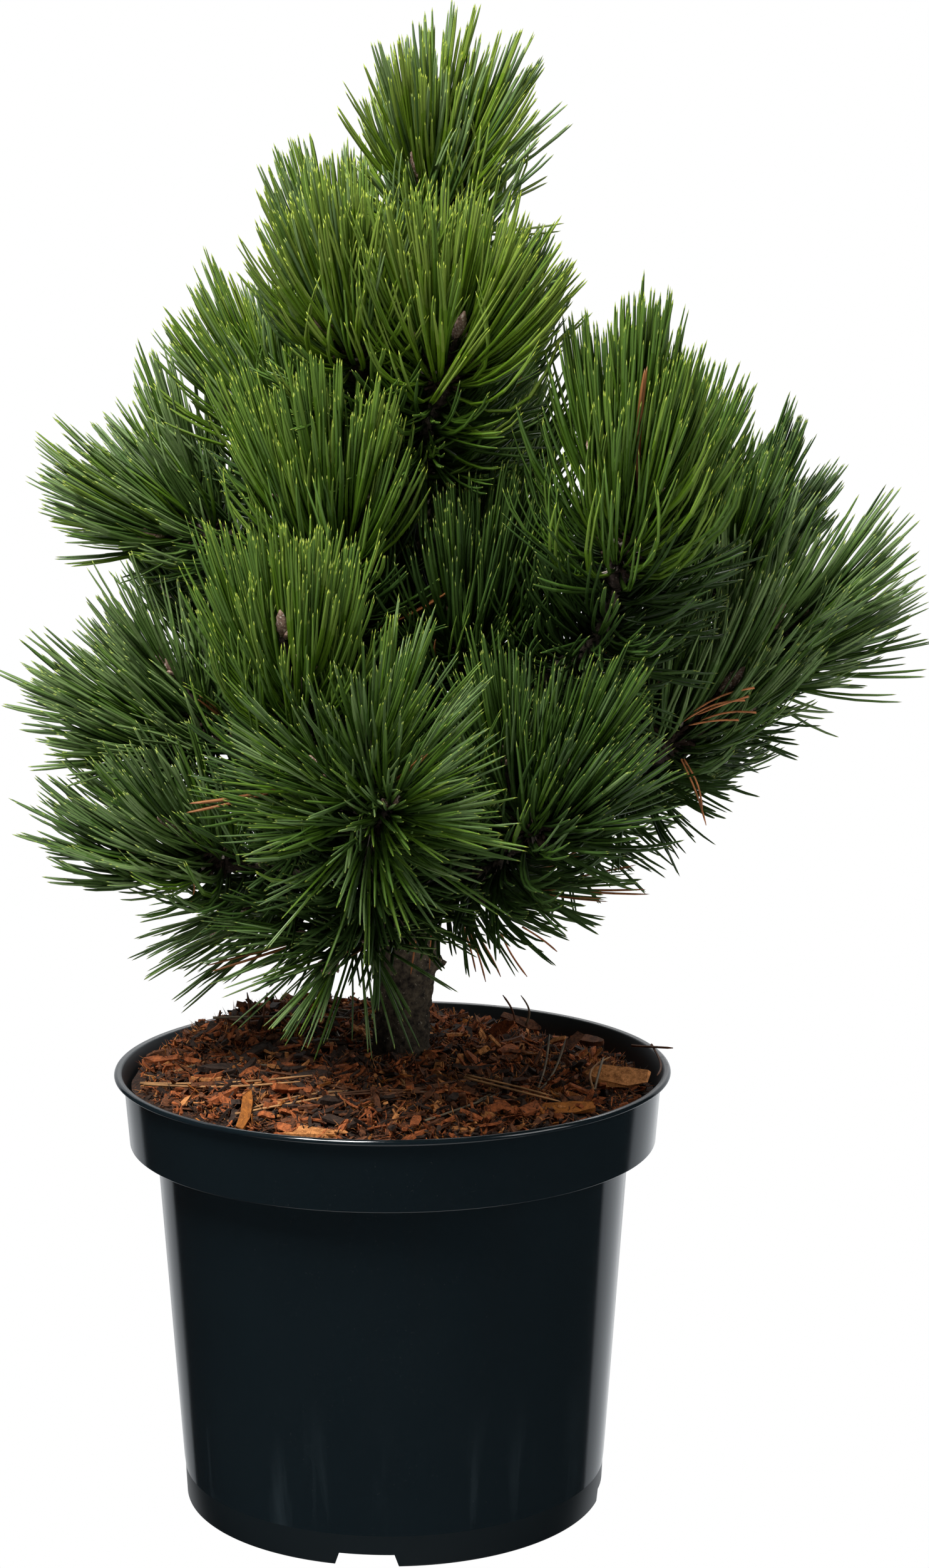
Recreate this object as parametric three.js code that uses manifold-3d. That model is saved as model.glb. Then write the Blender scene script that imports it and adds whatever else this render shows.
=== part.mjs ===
// A dwarf Bosnian pine in a round nursery pot. Millimetres, +Z up, origin under the middle of the pot.
// The trunk stands in a bed of bark mulch and carries curved boughs. Each bough ends in one tuft: short
// shoots that fan out from one stem, each a slim core with needles standing out of it.

import * as THREE from 'three';
import { mergeVertices } from 'three/addons/utils/BufferGeometryUtils.js';
import Module from 'manifold-3d';

const wasm = await Module();
wasm.setup();

// Pot
const rimRadius = 140;
const rimHeight = 222;
const lipThickness = 2.4;
const collarTopRadius = 135.3;
const collarFootRadius = 132.6;
const collarFootHeight = 185;
const bodyTopRadius = 119.4;
const bodyFootRadius = 107.8;
const stepHeight = 18.4;
const stepRise = 1.2;
const footTopRadius = 106.4;
const footRadius = 105.6;
const wall = 2;
const floorTop = 2.6;
const potSides = 36;
const notchCount = 4;
const notchTurn = -96;
const notchWidthFoot = 32;
const notchWidthTop = 27;
const notchHeight = 6.2;
const notchDepth = 16;
const notchRoom = 8;

// Mulch bed, heaped towards the back left and sunk at the back right
const bedClearance = 0.4;
const bedEdgeHeight = 214;
const bedEdgeSwell = 8;
const bedHeapTurn = 150;
const bedRings = [108, 80, 50];
const bedRingHeights = [220, 224, 226];
const bedRoughness = 1.8;
const bedEdgeGain = 0.6;
const bedSeed = 7;
const soilLevel = 226;
const soilLevelRadius = 22;

// Trunk: height, radius, and how far it leans to the right
const gap = 0.3;
const trunkSides = 10;
const trunkFootX = 4;
const trunkTopX = 20;
const trunkRings = [
  [soilLevel + gap, 16.5], [232, 14.2], [248, 13.4], [266, 15], [282, 16], [298, 15.2], [330, 13],
  [370, 11.6], [420, 10.2], [470, 8.8], [520, 7.4], [570, 5.8], [622, 4.2],
];
const trunkTop = 622;
const trunkSway = 2.5;
const trunkSwayRate = 9;
const stub = { height: 274, radius: 4.5, tipRadius: 3.6, reach: 22, rise: 2, sides: 7 };

// Limbs and tufts
const boughSides = 5;
const boughRings = 4;
const boughRise = 0.35;
const boughLeave = 0.35;
const boughArrive = 0.3;
const boughFootRadius = 3;
const boughFootMost = 5.6;
const boughSpanPerRadius = 45;
const boughTipExtra = 0.5;
const boughFlare = 1.3;
const boughFlareReach = 1 / 6;
const stemLength = 8;
const stemRadius = 2.1;
const stemSides = 5;
const stemOverlap = 2;
const shootRadius = 1.5;
const coreSides = 4;
const coreBelts = [[0.45, 15], [0.95, 11]];
const coreStart = -0.06;
const coreEnd = 1.4;
const coreShare = 0.42;
const coreMargin = 2;
const needleLength = 72;
const needleThickness = 2.1;
const needleBend = 0.6;
const needleLift = 0.35;
const needleAngleFoot = 104;
const needleAngleTip = 14;
const needlesPerShoot = 6;
const needleTries = 9;
const needleSlide = 38;
const needleWidest = 0.42;
const needleAngleCurve = 1;
const needleFirst = 0.1;
const needleLengths = [0.92, 1.06];
const needleTests = [0.3, 0.5, 0.75, 1];
const goldenTurn = 137.5;
const beltTurn = 40;
const shootLift = 0.28;
const shootJitter = 24;
const spreadShares = [0.9, 1.2];
const sideShootShares = [0.72, 0.94];
const clearance = 0.35;
const rimMargin = 6;
const limbSteps = 8;
const firstSeed = 100;
const joinTolerance = 0.05;
const mergeDistance = 1e-4;

// One row for each bough and its tuft. The bough leaves its carrier, the trunk at a height or another bough
// at a share of its length, and ends at a point. The tuft then heads along a compass turn (0 is right, 90 is
// the back) and a pitch, with a number of shoots, their spread, the roll of their fan and their length.
const tufts = [
  { name: 'leader', from: ['trunk', trunkTop + gap], heading: [0, 88], shoots: 4,
    spread: 30, roll: 0, shoot: 48 },
  { name: 'top_back_left', from: ['trunk', 552], end: [-16, 28, 582], heading: [158, 66], shoots: 3,
    spread: 28, roll: 20, shoot: 38 },
  { name: 'top_front_left', from: ['trunk', 490], end: [-12, -74, 566], heading: [-112, 66], shoots: 4,
    spread: 36, roll: 60, shoot: 27 },
  { name: 'top_front_right', from: ['trunk', 512], end: [22, -82, 556], heading: [-58, 58], shoots: 4,
    spread: 38, roll: 0, shoot: 29 },
  { name: 'top_right', from: ['trunk', 510], end: [28, 44, 544], heading: [30, 56], shoots: 4,
    spread: 36, roll: 30, shoot: 42 },
  { name: 'top_back', from: ['trunk', 486], end: [6, 62, 536], heading: [96, 56], shoots: 3,
    spread: 38, roll: 0, shoot: 46 },
  { name: 'high_left', from: ['trunk', 462], end: [-38, -12, 520], heading: [172, 58], shoots: 4,
    spread: 41, roll: 0, shoot: 44 },
  { name: 'outer_left', from: ['trunk', 440], end: [-76, 4, 486], heading: [178, 14], shoots: 4,
    spread: 39, roll: 90, shoot: 42 },
  { name: 'high_front', from: ['trunk', 416], end: [-22, -84, 464], heading: [-112, 72], shoots: 3,
    spread: 30, roll: 0, shoot: 54 },
  { name: 'front_left', from: ['trunk', 346], end: [-38, -120, 396], heading: [-104, 66], shoots: 4,
    spread: 28, roll: 0, shoot: 58 },
  { name: 'mid_left', from: ['trunk', 352], end: [-76, -22, 388], heading: [-172, 14], shoots: 4,
    spread: 36, roll: 0, shoot: 48 },
  { name: 'low_left', from: ['trunk', 298], end: [-68, -58, 336], heading: [-172, 9], shoots: 4,
    spread: 32, roll: 30, shoot: 44 },
  { name: 'low_front', from: ['trunk', 310], end: [-8, -134, 358], heading: [-86, 48], shoots: 4,
    spread: 34, roll: 0, shoot: 52 },
  { name: 'low_back_left', from: ['trunk', 282], end: [-38, 42, 300], heading: [168, -22], shoots: 3,
    spread: 30, roll: 0, shoot: 40 },
  { name: 'lowest_front', from: ['trunk', 278], end: [-12, -44, 302], heading: [-112, -14], shoots: 3,
    spread: 32, roll: 0, shoot: 32 },
  { name: 'low_front_right', from: ['trunk', 328], end: [58, -96, 350], heading: [-44, 48], shoots: 4,
    spread: 38, roll: 45, shoot: 50 },
  { name: 'far_right', from: ['trunk', 340], end: [161, 8, 410], heading: [0, 41], shoots: 4,
    spread: 44, roll: 0, shoot: 50 },
  { name: 'mid_right', from: ['far_right', 0.62], end: [126, -34, 382], heading: [-14, 46], shoots: 3,
    spread: 32, roll: 60, shoot: 42 },
  { name: 'under_right', from: ['far_right', 0.4], end: [94, 26, 346], heading: [4, 14], shoots: 3,
    spread: 32, roll: 0, shoot: 42 },
  { name: 'lowest_right', from: ['trunk', 286], end: [36, 16, 306], heading: [-10, 8], shoots: 3,
    spread: 36, roll: 0, shoot: 36 },
  { name: 'front_right', from: ['trunk', 400], end: [105, -104, 473], heading: [-66, 74], shoots: 3,
    spread: 24, roll: 60, shoot: 62 },
  { name: 'outer_front_right', from: ['front_right', 0.6], end: [120, -60, 477], heading: [-4, 58],
    shoots: 3, spread: 34, roll: 0, shoot: 28 },
  { name: 'inner_front_right', from: ['trunk', 374], end: [34, -58, 420], heading: [-50, 64], shoots: 3,
    spread: 32, roll: 0, shoot: 46 },
  { name: 'mid_back', from: ['trunk', 430], end: [36, 72, 482], heading: [62, 40], shoots: 4,
    spread: 38, roll: 0, shoot: 48 },
  { name: 'back_left', from: ['trunk', 376], end: [-80, 70, 416], heading: [146, 38], shoots: 4,
    spread: 38, roll: 45, shoot: 48 },
  { name: 'back_right', from: ['trunk', 388], end: [155, 46, 440], heading: [8, 62], shoots: 4,
    spread: 38, roll: 0, shoot: 50 },
  { name: 'low_back', from: ['trunk', 318], end: [-14, 108, 358], heading: [98, 30], shoots: 4,
    spread: 38, roll: 0, shoot: 48 },
  { name: 'low_back_right', from: ['trunk', 306], end: [66, 74, 340], heading: [44, 28], shoots: 4,
    spread: 38, roll: 45, shoot: 46 },
];

const plastic = new THREE.MeshStandardMaterial({ color: 0x10171b, roughness: 0.28, metalness: 0 });
const mulch = new THREE.MeshStandardMaterial({ color: 0x6b3a22, roughness: 0.95, metalness: 0 });
const bark = new THREE.MeshStandardMaterial({ color: 0x4a4038, roughness: 0.9, metalness: 0 });
const green = new THREE.MeshStandardMaterial({ color: 0x3f7a2c, roughness: 0.55, metalness: 0 });

const vec = (x, y, z) => new THREE.Vector3(x, y, z);
const radians = (degrees) => degrees * Math.PI / 180;
const between = ([low, high], share) => low + (high - low) * share;
const up = vec(0, 0, 1);

// The same seed gives the same plant every time.
function seeded(seed) {
  let state = seed >>> 0;
  return () => {
    state = (state + 0x6d2b79f5) >>> 0;
    let mixed = Math.imul(state ^ (state >>> 15), state | 1);
    mixed ^= mixed + Math.imul(mixed ^ (mixed >>> 7), mixed | 61);
    return ((mixed ^ (mixed >>> 14)) >>> 0) / 4294967296;
  };
}

function compass(turn, pitch) {
  const flat = Math.cos(radians(pitch));
  return vec(flat * Math.cos(radians(turn)), flat * Math.sin(radians(turn)), Math.sin(radians(pitch)));
}

// Turns a direction away from an axis by an angle, towards a side given as a turn round that axis.
function tilted(axis, angle, turn) {
  const across = vec(0, 0, 0).crossVectors(axis, up);
  if (across.length() < 0.05) across.set(1, 0, 0);
  across.normalize();
  const over = vec(0, 0, 0).crossVectors(across, axis).normalize();
  const side = across.multiplyScalar(Math.cos(radians(turn)));
  side.addScaledVector(over, Math.sin(radians(turn)));
  const forward = axis.clone().multiplyScalar(Math.cos(radians(angle)));
  return forward.addScaledVector(side, Math.sin(radians(angle)));
}

function toSolid(geometry) {
  const bare = geometry.clone();
  bare.deleteAttribute('normal');
  bare.deleteAttribute('uv');
  const merged = mergeVertices(bare, mergeDistance);
  const kept = [];
  for (let i = 0; i < merged.index.count; i += 3) {
    const [a, b, c] = [0, 1, 2].map((corner) => merged.index.getX(i + corner));
    if (a !== b && b !== c && c !== a) kept.push(a, b, c);
  }
  return new wasm.Manifold(new wasm.Mesh({
    numProp: 3,
    vertProperties: new Float32Array(merged.attributes.position.array),
    triVerts: new Uint32Array(kept),
  }));
}

// The largest body is kept, which drops loose scraps and fills any hollow that joining has sealed.
function toGeometry(solid) {
  const bodies = solid.simplify(joinTolerance).decompose();
  const body = bodies.reduce((best, next) => (next.volume() > best.volume() ? next : best));
  const mesh = body.getMesh();
  const geometry = new THREE.BufferGeometry();
  geometry.setAttribute('position', new THREE.BufferAttribute(new Float32Array(mesh.vertProperties), 3));
  geometry.setIndex(new THREE.BufferAttribute(new Uint32Array(mesh.triVerts), 1));
  geometry.computeVertexNormals();
  return geometry;
}

// Joins rings of points, or single points at the ends, into one closed skin.
function loft(rings) {
  const positions = rings.flat().flatMap((point) => [point.x, point.y, point.z]);
  const starts = [];
  rings.reduce((total, ring) => { starts.push(total); return total + ring.length; }, 0);
  const faces = [];
  for (let i = 0; i + 1 < rings.length; i += 1) {
    const [low, high] = [rings[i], rings[i + 1]];
    const sides = Math.max(low.length, high.length);
    for (let k = 0; k < sides; k += 1) {
      const next = (k + 1) % sides;
      const [a, b] = [starts[i] + k, starts[i] + next];
      const [c, d] = [starts[i + 1] + k, starts[i + 1] + next];
      if (low.length === 1) faces.push(starts[i], d, c);
      else if (high.length === 1) faces.push(a, b, starts[i + 1]);
      else faces.push(a, b, d, a, d, c);
    }
  }
  const last = rings.length - 1;
  const [foot, top] = [starts[0], starts[last]];
  for (let k = 1; k + 1 < rings[0].length; k += 1) faces.push(foot, foot + k + 1, foot + k);
  for (let k = 1; k + 1 < rings[last].length; k += 1) faces.push(top, top + k, top + k + 1);
  const geometry = new THREE.BufferGeometry();
  geometry.setAttribute('position', new THREE.Float32BufferAttribute(positions, 3));
  geometry.setIndex(faces);
  return geometry;
}

function ringAt(centre, axis, radius, sides, turn = 0) {
  return Array.from({ length: sides }, (_, k) => {
    const out = tilted(axis, 90, -360 * k / sides + turn);
    return centre.clone().addScaledVector(out, radius);
  });
}

// Pot: a thin shell turned round the axis, with drain notches where the wall meets the flat floor
function makePot() {
  const profile = [
    [0, 0], [footRadius, 0], [footTopRadius, stepHeight - stepRise / 2],
    [bodyFootRadius, stepHeight + stepRise / 2],
    [bodyTopRadius, collarFootHeight + 1], [collarFootRadius, collarFootHeight],
    [collarTopRadius, rimHeight - lipThickness - 1], [rimRadius, rimHeight - lipThickness],
    [rimRadius, rimHeight], [collarTopRadius - wall, rimHeight],
    [collarFootRadius - wall, collarFootHeight + wall + 1], [bodyTopRadius - wall, collarFootHeight + wall],
    [footRadius - wall, floorTop], [0, floorTop],
  ];
  const shell = new THREE.LatheGeometry(profile.map(([r, z]) => new THREE.Vector2(r, z)), potSides);
  shell.rotateX(Math.PI / 2);
  let pot = toSolid(shell);
  const notchShape = new THREE.Shape([
    new THREE.Vector2(-notchWidthFoot / 2, -1), new THREE.Vector2(notchWidthFoot / 2, -1),
    new THREE.Vector2(notchWidthTop / 2, notchHeight), new THREE.Vector2(-notchWidthTop / 2, notchHeight),
  ]);
  for (let k = 0; k < notchCount; k += 1) {
    const turn = radians(notchTurn + 360 * k / notchCount);
    const notch = new THREE.ExtrudeGeometry(notchShape, { depth: notchDepth * 2, bevelEnabled: false });
    notch.rotateX(Math.PI / 2).rotateZ(Math.PI / 2).translate(footRadius - notchDepth, 0, 0).rotateZ(turn);
    pot = pot.subtract(toSolid(notch));
  }
  return toGeometry(pot);
}

// Bed: fills the pot to a clearance, with a rough heaped top and a level ring where the trunk stands
function makeBed() {
  const random = seeded(bedSeed);
  const ring = (radius, heightAt) => Array.from({ length: potSides }, (_, k) => {
    const turn = 360 * k / potSides;
    return vec(radius * Math.cos(radians(turn)), radius * Math.sin(radians(turn)), heightAt(turn));
  });
  const swell = (turn) => bedEdgeSwell * Math.cos(radians(turn - bedHeapTurn));
  const rough = () => bedRoughness * (2 * random() - 1);
  const rings = [
    ring(footRadius - notchDepth - gap, () => floorTop + gap),
    ring(footRadius - wall - gap, () => floorTop + notchRoom),
    ring(bodyTopRadius - wall - bedClearance, () => collarFootHeight + wall + bedClearance),
    ring(collarFootRadius - wall - bedClearance, () => collarFootHeight + wall + 1 + bedClearance),
    ring(collarFootRadius - wall + bedEdgeGain, (turn) => bedEdgeHeight + swell(turn) * bedEdgeGain),
  ];
  bedRings.forEach((radius, i) => {
    const share = radius / rimRadius;
    rings.push(ring(radius, (turn) => bedRingHeights[i] + swell(turn) * share * share + rough()));
  });
  rings.push(ring(soilLevelRadius, () => soilLevel).map((point) => point.add(vec(trunkFootX, 0, 0))));
  return toGeometry(toSolid(loft(rings)));
}

function trunkCentre(height) {
  const share = (height - soilLevel) / (trunkTop - soilLevel);
  const sway = trunkSway * Math.sin(share * trunkSwayRate);
  return vec(trunkFootX + (trunkTopX - trunkFootX) * share, sway, height);
}

function makeTrunkSolid(extra) {
  const rings = trunkRings.map(([height, radius], i) => {
    const centre = trunkCentre(height);
    if (extra > 0 && i === 0) centre.z -= extra;
    return ringAt(centre, up, radius + extra, trunkSides);
  });
  const stubLine = vec(stub.reach + extra, 0, stub.rise);
  const stubAxis = stubLine.clone().normalize();
  const knob = loft([
    ringAt(trunkCentre(stub.height), stubAxis, stub.radius + extra, stub.sides),
    ringAt(trunkCentre(stub.height).add(stubLine), stubAxis, stub.tipRadius + extra, stub.sides),
  ]);
  return toSolid(loft(rings)).add(toSolid(knob));
}

// Each bough bends from a nearly level start out of its carrier to the heading of its tuft.
const limbs = {};
function planLimb(tuft) {
  const [carrier, place] = tuft.from;
  const heading = compass(...tuft.heading);
  if (!tuft.end) {
    limbs[tuft.name] = { tip: trunkCentre(place), heading };
    return;
  }
  const tip = vec(...tuft.end);
  const parent = limbs[carrier];
  const start = parent ? parent.curve.getPoint(place) : trunkCentre(place);
  const span = start.distanceTo(tip);
  const outward = tip.clone().sub(start).normalize();
  const leave = parent
    ? outward.clone().add(parent.curve.getTangent(place)).normalize()
    : vec(outward.x, outward.y, boughRise * outward.z).normalize();
  const curve = new THREE.CubicBezierCurve3(
    start, start.clone().addScaledVector(leave, span * boughLeave),
    tip.clone().addScaledVector(heading, -span * boughArrive), tip,
  );
  const foot = Math.min(boughFootMost, boughFootRadius + span / boughSpanPerRadius);
  limbs[tuft.name] = { tip, heading, curve, carrier, foot, end: stemRadius + boughTipExtra };
}

function limbRadius(limb, share) {
  const flare = boughFlare * Math.max(0, 1 - share / boughFlareReach);
  return limb.foot + (limb.end - limb.foot) * share + flare;
}

function limbSolid(limb, extra) {
  const rings = [];
  const grown = extra / Math.cos(Math.PI / boughSides);
  for (let i = 0; i <= boughRings; i += 1) {
    const share = i / boughRings;
    const axis = i === boughRings ? limb.heading : limb.curve.getTangent(share);
    rings.push(ringAt(limb.curve.getPoint(share), axis, limbRadius(limb, share) + grown, boughSides));
  }
  return toSolid(loft(rings));
}

// A tuft: one stem, then shoots that fan out from it and turn up to the light
function planShoots(tuft, seed) {
  const random = seeded(seed);
  const limb = limbs[tuft.name];
  const base = limb.tip.clone().addScaledVector(limb.heading, gap);
  const fork = base.clone().addScaledVector(limb.heading, stemLength);
  const shoots = [];
  for (let i = 0; i < tuft.shoots; i += 1) {
    const turn = tuft.roll + 360 * (i - 1) / (tuft.shoots - 1) + shootJitter * (random() - 0.5);
    const angle = i === 0 ? 0 : tuft.spread * between(spreadShares, random());
    const axis = tilted(limb.heading, angle, turn);
    if (i > 0) axis.z += shootLift;
    axis.normalize();
    const length = tuft.shoot * (i === 0 ? 1 : between(sideShootShares, random()));
    shoots.push({ start: fork.clone(), axis, length, end: fork.clone().addScaledVector(axis, length) });
  }
  return { name: tuft.name, base, fork, shoots, random };
}

// A point a share of the way along a needle that leaves a shoot and curves forwards and up to the light
function needlePoint(root, out, towards, length, share) {
  const turned = needleBend * share * share / 2;
  const straight = root.clone().addScaledVector(out, length * (share - turned));
  return straight.addScaledVector(towards, length * turned);
}

function segmentDistance(point, from, to) {
  const along = to.clone().sub(from);
  const share = THREE.MathUtils.clamp(point.clone().sub(from).dot(along) / along.lengthSq(), 0, 1);
  return point.distanceTo(from.clone().addScaledVector(along, share));
}

const plans = [];
tufts.forEach((tuft, i) => {
  planLimb(tuft);
  plans.push(planShoots(tuft, firstSeed + i));
});

const twigLines = plans.map((plan) => [
  [plan.base, plan.fork], ...plan.shoots.map((shoot) => [shoot.start, shoot.end]),
]);

const obstacles = [];
for (let i = 0; i + 1 < trunkRings.length; i += 1) {
  const [lowHeight, lowRadius] = trunkRings[i];
  const [highHeight, highRadius] = trunkRings[i + 1];
  obstacles.push([trunkCentre(lowHeight), trunkCentre(highHeight), Math.max(lowRadius, highRadius)]);
}
for (const limb of Object.values(limbs)) {
  if (!limb.curve) continue;
  for (let k = 0; k < limbSteps; k += 1) {
    const [from, to] = [k / limbSteps, (k + 1) / limbSteps];
    obstacles.push([limb.curve.getPoint(from), limb.curve.getPoint(to), limbRadius(limb, from)]);
  }
}

// How far a point lies inside its own tuft's space: nearer to its own twigs than to any other's
function spare(point, own) {
  let mine = Infinity;
  let other = Infinity;
  twigLines.forEach((lines, i) => {
    for (const [from, to] of lines) {
      const distance = segmentDistance(point, from, to);
      if (i === own) mine = Math.min(mine, distance);
      else other = Math.min(other, distance);
    }
  });
  return other - mine;
}

function limbClearance(point) {
  return Math.min(...obstacles.map(([from, to, radius]) => segmentDistance(point, from, to) - radius));
}

function bedRoom(point) {
  const radius = Math.hypot(point.x, point.y);
  if (radius > rimRadius + rimMargin) return Infinity;
  const swell = bedEdgeSwell * Math.cos(Math.atan2(point.y, point.x) - radians(bedHeapTurn));
  return point.z - (soilLevel + Math.max(0, swell) * (radius / rimRadius) ** 2);
}

function needleFits(points, own) {
  return points.every((point) => spare(point, own) > 2 * needleThickness
    && limbClearance(point) > needleThickness + clearance && bedRoom(point) > needleThickness + clearance);
}

// The trunk and boughs grown by the gap: what a bough's root and a tuft are cut clear of
const trunkSpace = makeTrunkSolid(gap);
const boughSpaces = Object.values(limbs).filter((limb) => limb.curve).map((limb) => limbSolid(limb, gap));
const limbSpaces = [trunkSpace, ...boughSpaces];

function makeTuft(plan, own) {
  const { random } = plan;
  const heading = plan.fork.clone().sub(plan.base).normalize();
  let solid = toSolid(loft([
    ringAt(plan.base, heading, stemRadius, stemSides),
    ringAt(plan.fork.clone().addScaledVector(heading, stemOverlap), heading, stemRadius, stemSides),
  ]));
  for (const shoot of plan.shoots) {
    const at = (share) => shoot.start.clone().addScaledVector(shoot.axis, shoot.length * share);
    const belt = (share, wanted) => {
      const centre = at(share);
      const room = Math.min(spare(centre, own) * coreShare, limbClearance(centre) - coreMargin);
      return ringAt(centre, shoot.axis, THREE.MathUtils.clamp(room, shootRadius, wanted), coreSides);
    };
    const belts = coreBelts.map(([share, wanted]) => belt(share, wanted));
    solid = solid.add(toSolid(loft([[at(coreStart)], ...belts, [at(coreEnd)]])));
    const towards = shoot.axis.clone().addScaledVector(up, needleLift).normalize();
    for (let k = 0; k < needlesPerShoot; k += 1) {
      const share = between([needleFirst, 1], (k + 0.5) / needlesPerShoot);
      const angle = between([needleAngleFoot, needleAngleTip], share ** needleAngleCurve);
      const length = needleLength * between(needleLengths, random());
      const root = at(share);
      for (let attempt = 0; attempt < needleTries; attempt += 1) {
        const out = tilted(shoot.axis, angle, k * goldenTurn + attempt * needleSlide);
        const along = (part) => needlePoint(root, out, towards, length, part);
        if (needleFits(needleTests.map(along), own)) {
          const widest = ringAt(along(needleWidest), out, needleThickness, 3, k * beltTurn);
          solid = solid.add(toSolid(loft([[root], widest, [along(1)]])));
          break;
        }
      }
    }
  }
  for (const space of limbSpaces) solid = solid.subtract(space);
  return toGeometry(solid);
}

const plant = new THREE.Group();
function addPiece(name, geometry, material) {
  const piece = new THREE.Mesh(geometry, material.clone());
  piece.name = name;
  plant.add(piece);
}

addPiece('pot', makePot(), plastic);
addPiece('mulch_bed', makeBed(), mulch);
addPiece('trunk', toGeometry(makeTrunkSolid(0)), bark);

for (const [name, limb] of Object.entries(limbs)) {
  if (!limb.curve) continue;
  const carrierSpace = limb.carrier === 'trunk' ? trunkSpace : limbSolid(limbs[limb.carrier], gap);
  addPiece(`bough_${name}`, toGeometry(limbSolid(limb, 0).subtract(carrierSpace)), bark);
}
plans.forEach((plan, i) => addPiece(`tuft_${plan.name}`, makeTuft(plan, i), green));

export default plant;
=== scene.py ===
# A dwarf Bosnian pine in its black nursery pot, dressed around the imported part.
# It grows in millimetres, by the same rule as the solids, and each mesh is scaled as it is finished.
import math

import bmesh
import bpy
import numpy as np
from mathutils import Matrix, Vector, noise


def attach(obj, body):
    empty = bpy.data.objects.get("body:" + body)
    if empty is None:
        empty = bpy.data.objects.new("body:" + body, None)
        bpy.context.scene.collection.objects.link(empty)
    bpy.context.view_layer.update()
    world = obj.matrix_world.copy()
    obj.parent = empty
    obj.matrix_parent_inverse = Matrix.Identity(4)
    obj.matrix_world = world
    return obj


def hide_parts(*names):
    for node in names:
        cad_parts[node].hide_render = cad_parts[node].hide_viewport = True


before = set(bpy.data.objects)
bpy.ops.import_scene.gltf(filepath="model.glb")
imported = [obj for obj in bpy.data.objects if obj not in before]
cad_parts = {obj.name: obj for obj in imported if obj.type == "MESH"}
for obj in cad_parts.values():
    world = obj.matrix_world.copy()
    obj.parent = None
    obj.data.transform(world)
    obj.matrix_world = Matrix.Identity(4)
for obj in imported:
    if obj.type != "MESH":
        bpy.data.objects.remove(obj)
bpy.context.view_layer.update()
print("frame loaded:", len(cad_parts), "nodes")

mm = 0.001
up = Vector((0, 0, 1))
upwards = np.array(up)
goldenTurn = 137.5


# Helpers that put a finished mesh into the scene

def addObject(name, data):
    thing = bpy.data.objects.new(name, data)
    bpy.context.scene.collection.objects.link(thing)
    return thing


def addPiece(mesh, name, materials, nodes=()):
    piece = addObject(name, mesh)
    for material in materials:
        mesh.materials.append(material)
    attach(piece, "root")
    if nodes:
        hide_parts(*nodes)


def meshFromBmesh(bm, name, sharpAngle=40):
    bmesh.ops.scale(bm, vec=(mm, mm, mm), verts=bm.verts)
    mesh = bpy.data.meshes.new(name)
    bm.to_mesh(mesh)
    bm.free()
    mesh.shade_smooth()
    mesh.set_sharp_from_angle(angle=math.radians(sharpAngle))
    return mesh


# Many small copies as one mesh: points is copies x corners x 3, triangles and faceSlots describe one copy
def meshFromArrays(name, points, triangles, faceSlots=None):
    copies, corners = points.shape[:2]
    faces = (triangles[None] + corners * np.arange(copies)[:, None, None]).reshape(-1, 3)
    mesh = bpy.data.meshes.new(name)
    mesh.vertices.add(copies * corners)
    mesh.vertices.foreach_set("co", (points * mm).astype(np.float32).ravel())
    mesh.loops.add(faces.size)
    mesh.loops.foreach_set("vertex_index", faces.astype(np.int32).ravel())
    mesh.polygons.add(len(faces))
    mesh.polygons.foreach_set("loop_start", np.arange(0, faces.size, 3, dtype=np.int32))
    if faceSlots is not None:
        mesh.polygons.foreach_set("material_index", np.tile(faceSlots, copies).astype(np.int32))
    mesh.update(calc_edges=True)
    mesh.shade_smooth()
    return mesh


# One copy's triangles for rings of corners joined along a line, closed by caps or by a point at the far end
def ringTriangles(rings, sides, pointed):
    faces = []
    for j in range(rings - 1):
        for c in range(sides):
            a, b = sides * j + c, sides * j + (c + 1) % sides
            faces += [(a, b, b + sides), (a, b + sides, a + sides)]
    last = sides * (rings - 1)
    for c in range(1, sides - 1):
        faces.append((0, c + 1, c))
        if not pointed:
            faces.append((last, last + c, last + c + 1))
    if pointed:
        faces += [(last + c, last + (c + 1) % sides, sides * rings) for c in range(sides)]
    return np.array(faces)


def rowsOf(vectors):
    return np.array([list(vector) for vector in vectors])


def unit(rows):
    return rows / np.maximum(np.linalg.norm(rows, axis=-1, keepdims=True), 1e-9)


# The corners of one ring round each middle, spanned by two directions across the line
def ringCorners(middle, side, over, radius, corners):
    turns = [math.tau * k / corners for k in range(corners)]
    return [middle + (side * math.cos(turn) + over * math.sin(turn)) * radius for turn in turns]


# Materials

def newMaterial(name, colour, roughness, specular=0.5):
    material = bpy.data.materials.new(name)
    material.use_nodes = True
    shader = material.node_tree.nodes["Principled BSDF"]
    shader.inputs["Base Color"].default_value = (*colour, 1)
    shader.inputs["Roughness"].default_value = roughness
    shader.inputs["Specular IOR Level"].default_value = specular
    material.diffuse_color = (*colour, 1)
    return material, shader


def addNode(tree, kind, **values):
    node = tree.nodes.new(kind)
    for key, value in values.items():
        if key in node.inputs:
            node.inputs[key].default_value = value
        else:
            setattr(node, key, value)
    return node


def addRange(tree, low, high, toLow=0.0, toHigh=1.0):
    node = addNode(tree, "ShaderNodeMapRange")
    for key, value in (("From Min", low), ("From Max", high), ("To Min", toLow), ("To Max", toHigh)):
        node.inputs[key].default_value = value
    return node


def addBlend(tree, first=None, second=None, **values):
    node = addNode(tree, "ShaderNodeMix", data_type="RGBA", **values)
    for side, colour in (("A", first), ("B", second)):
        if colour:
            node.inputs[side].default_value = (*colour, 1)
    return node


def joinNodes(tree, *pairs):
    for start, end in pairs:
        tree.links.new(start, end)


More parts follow.
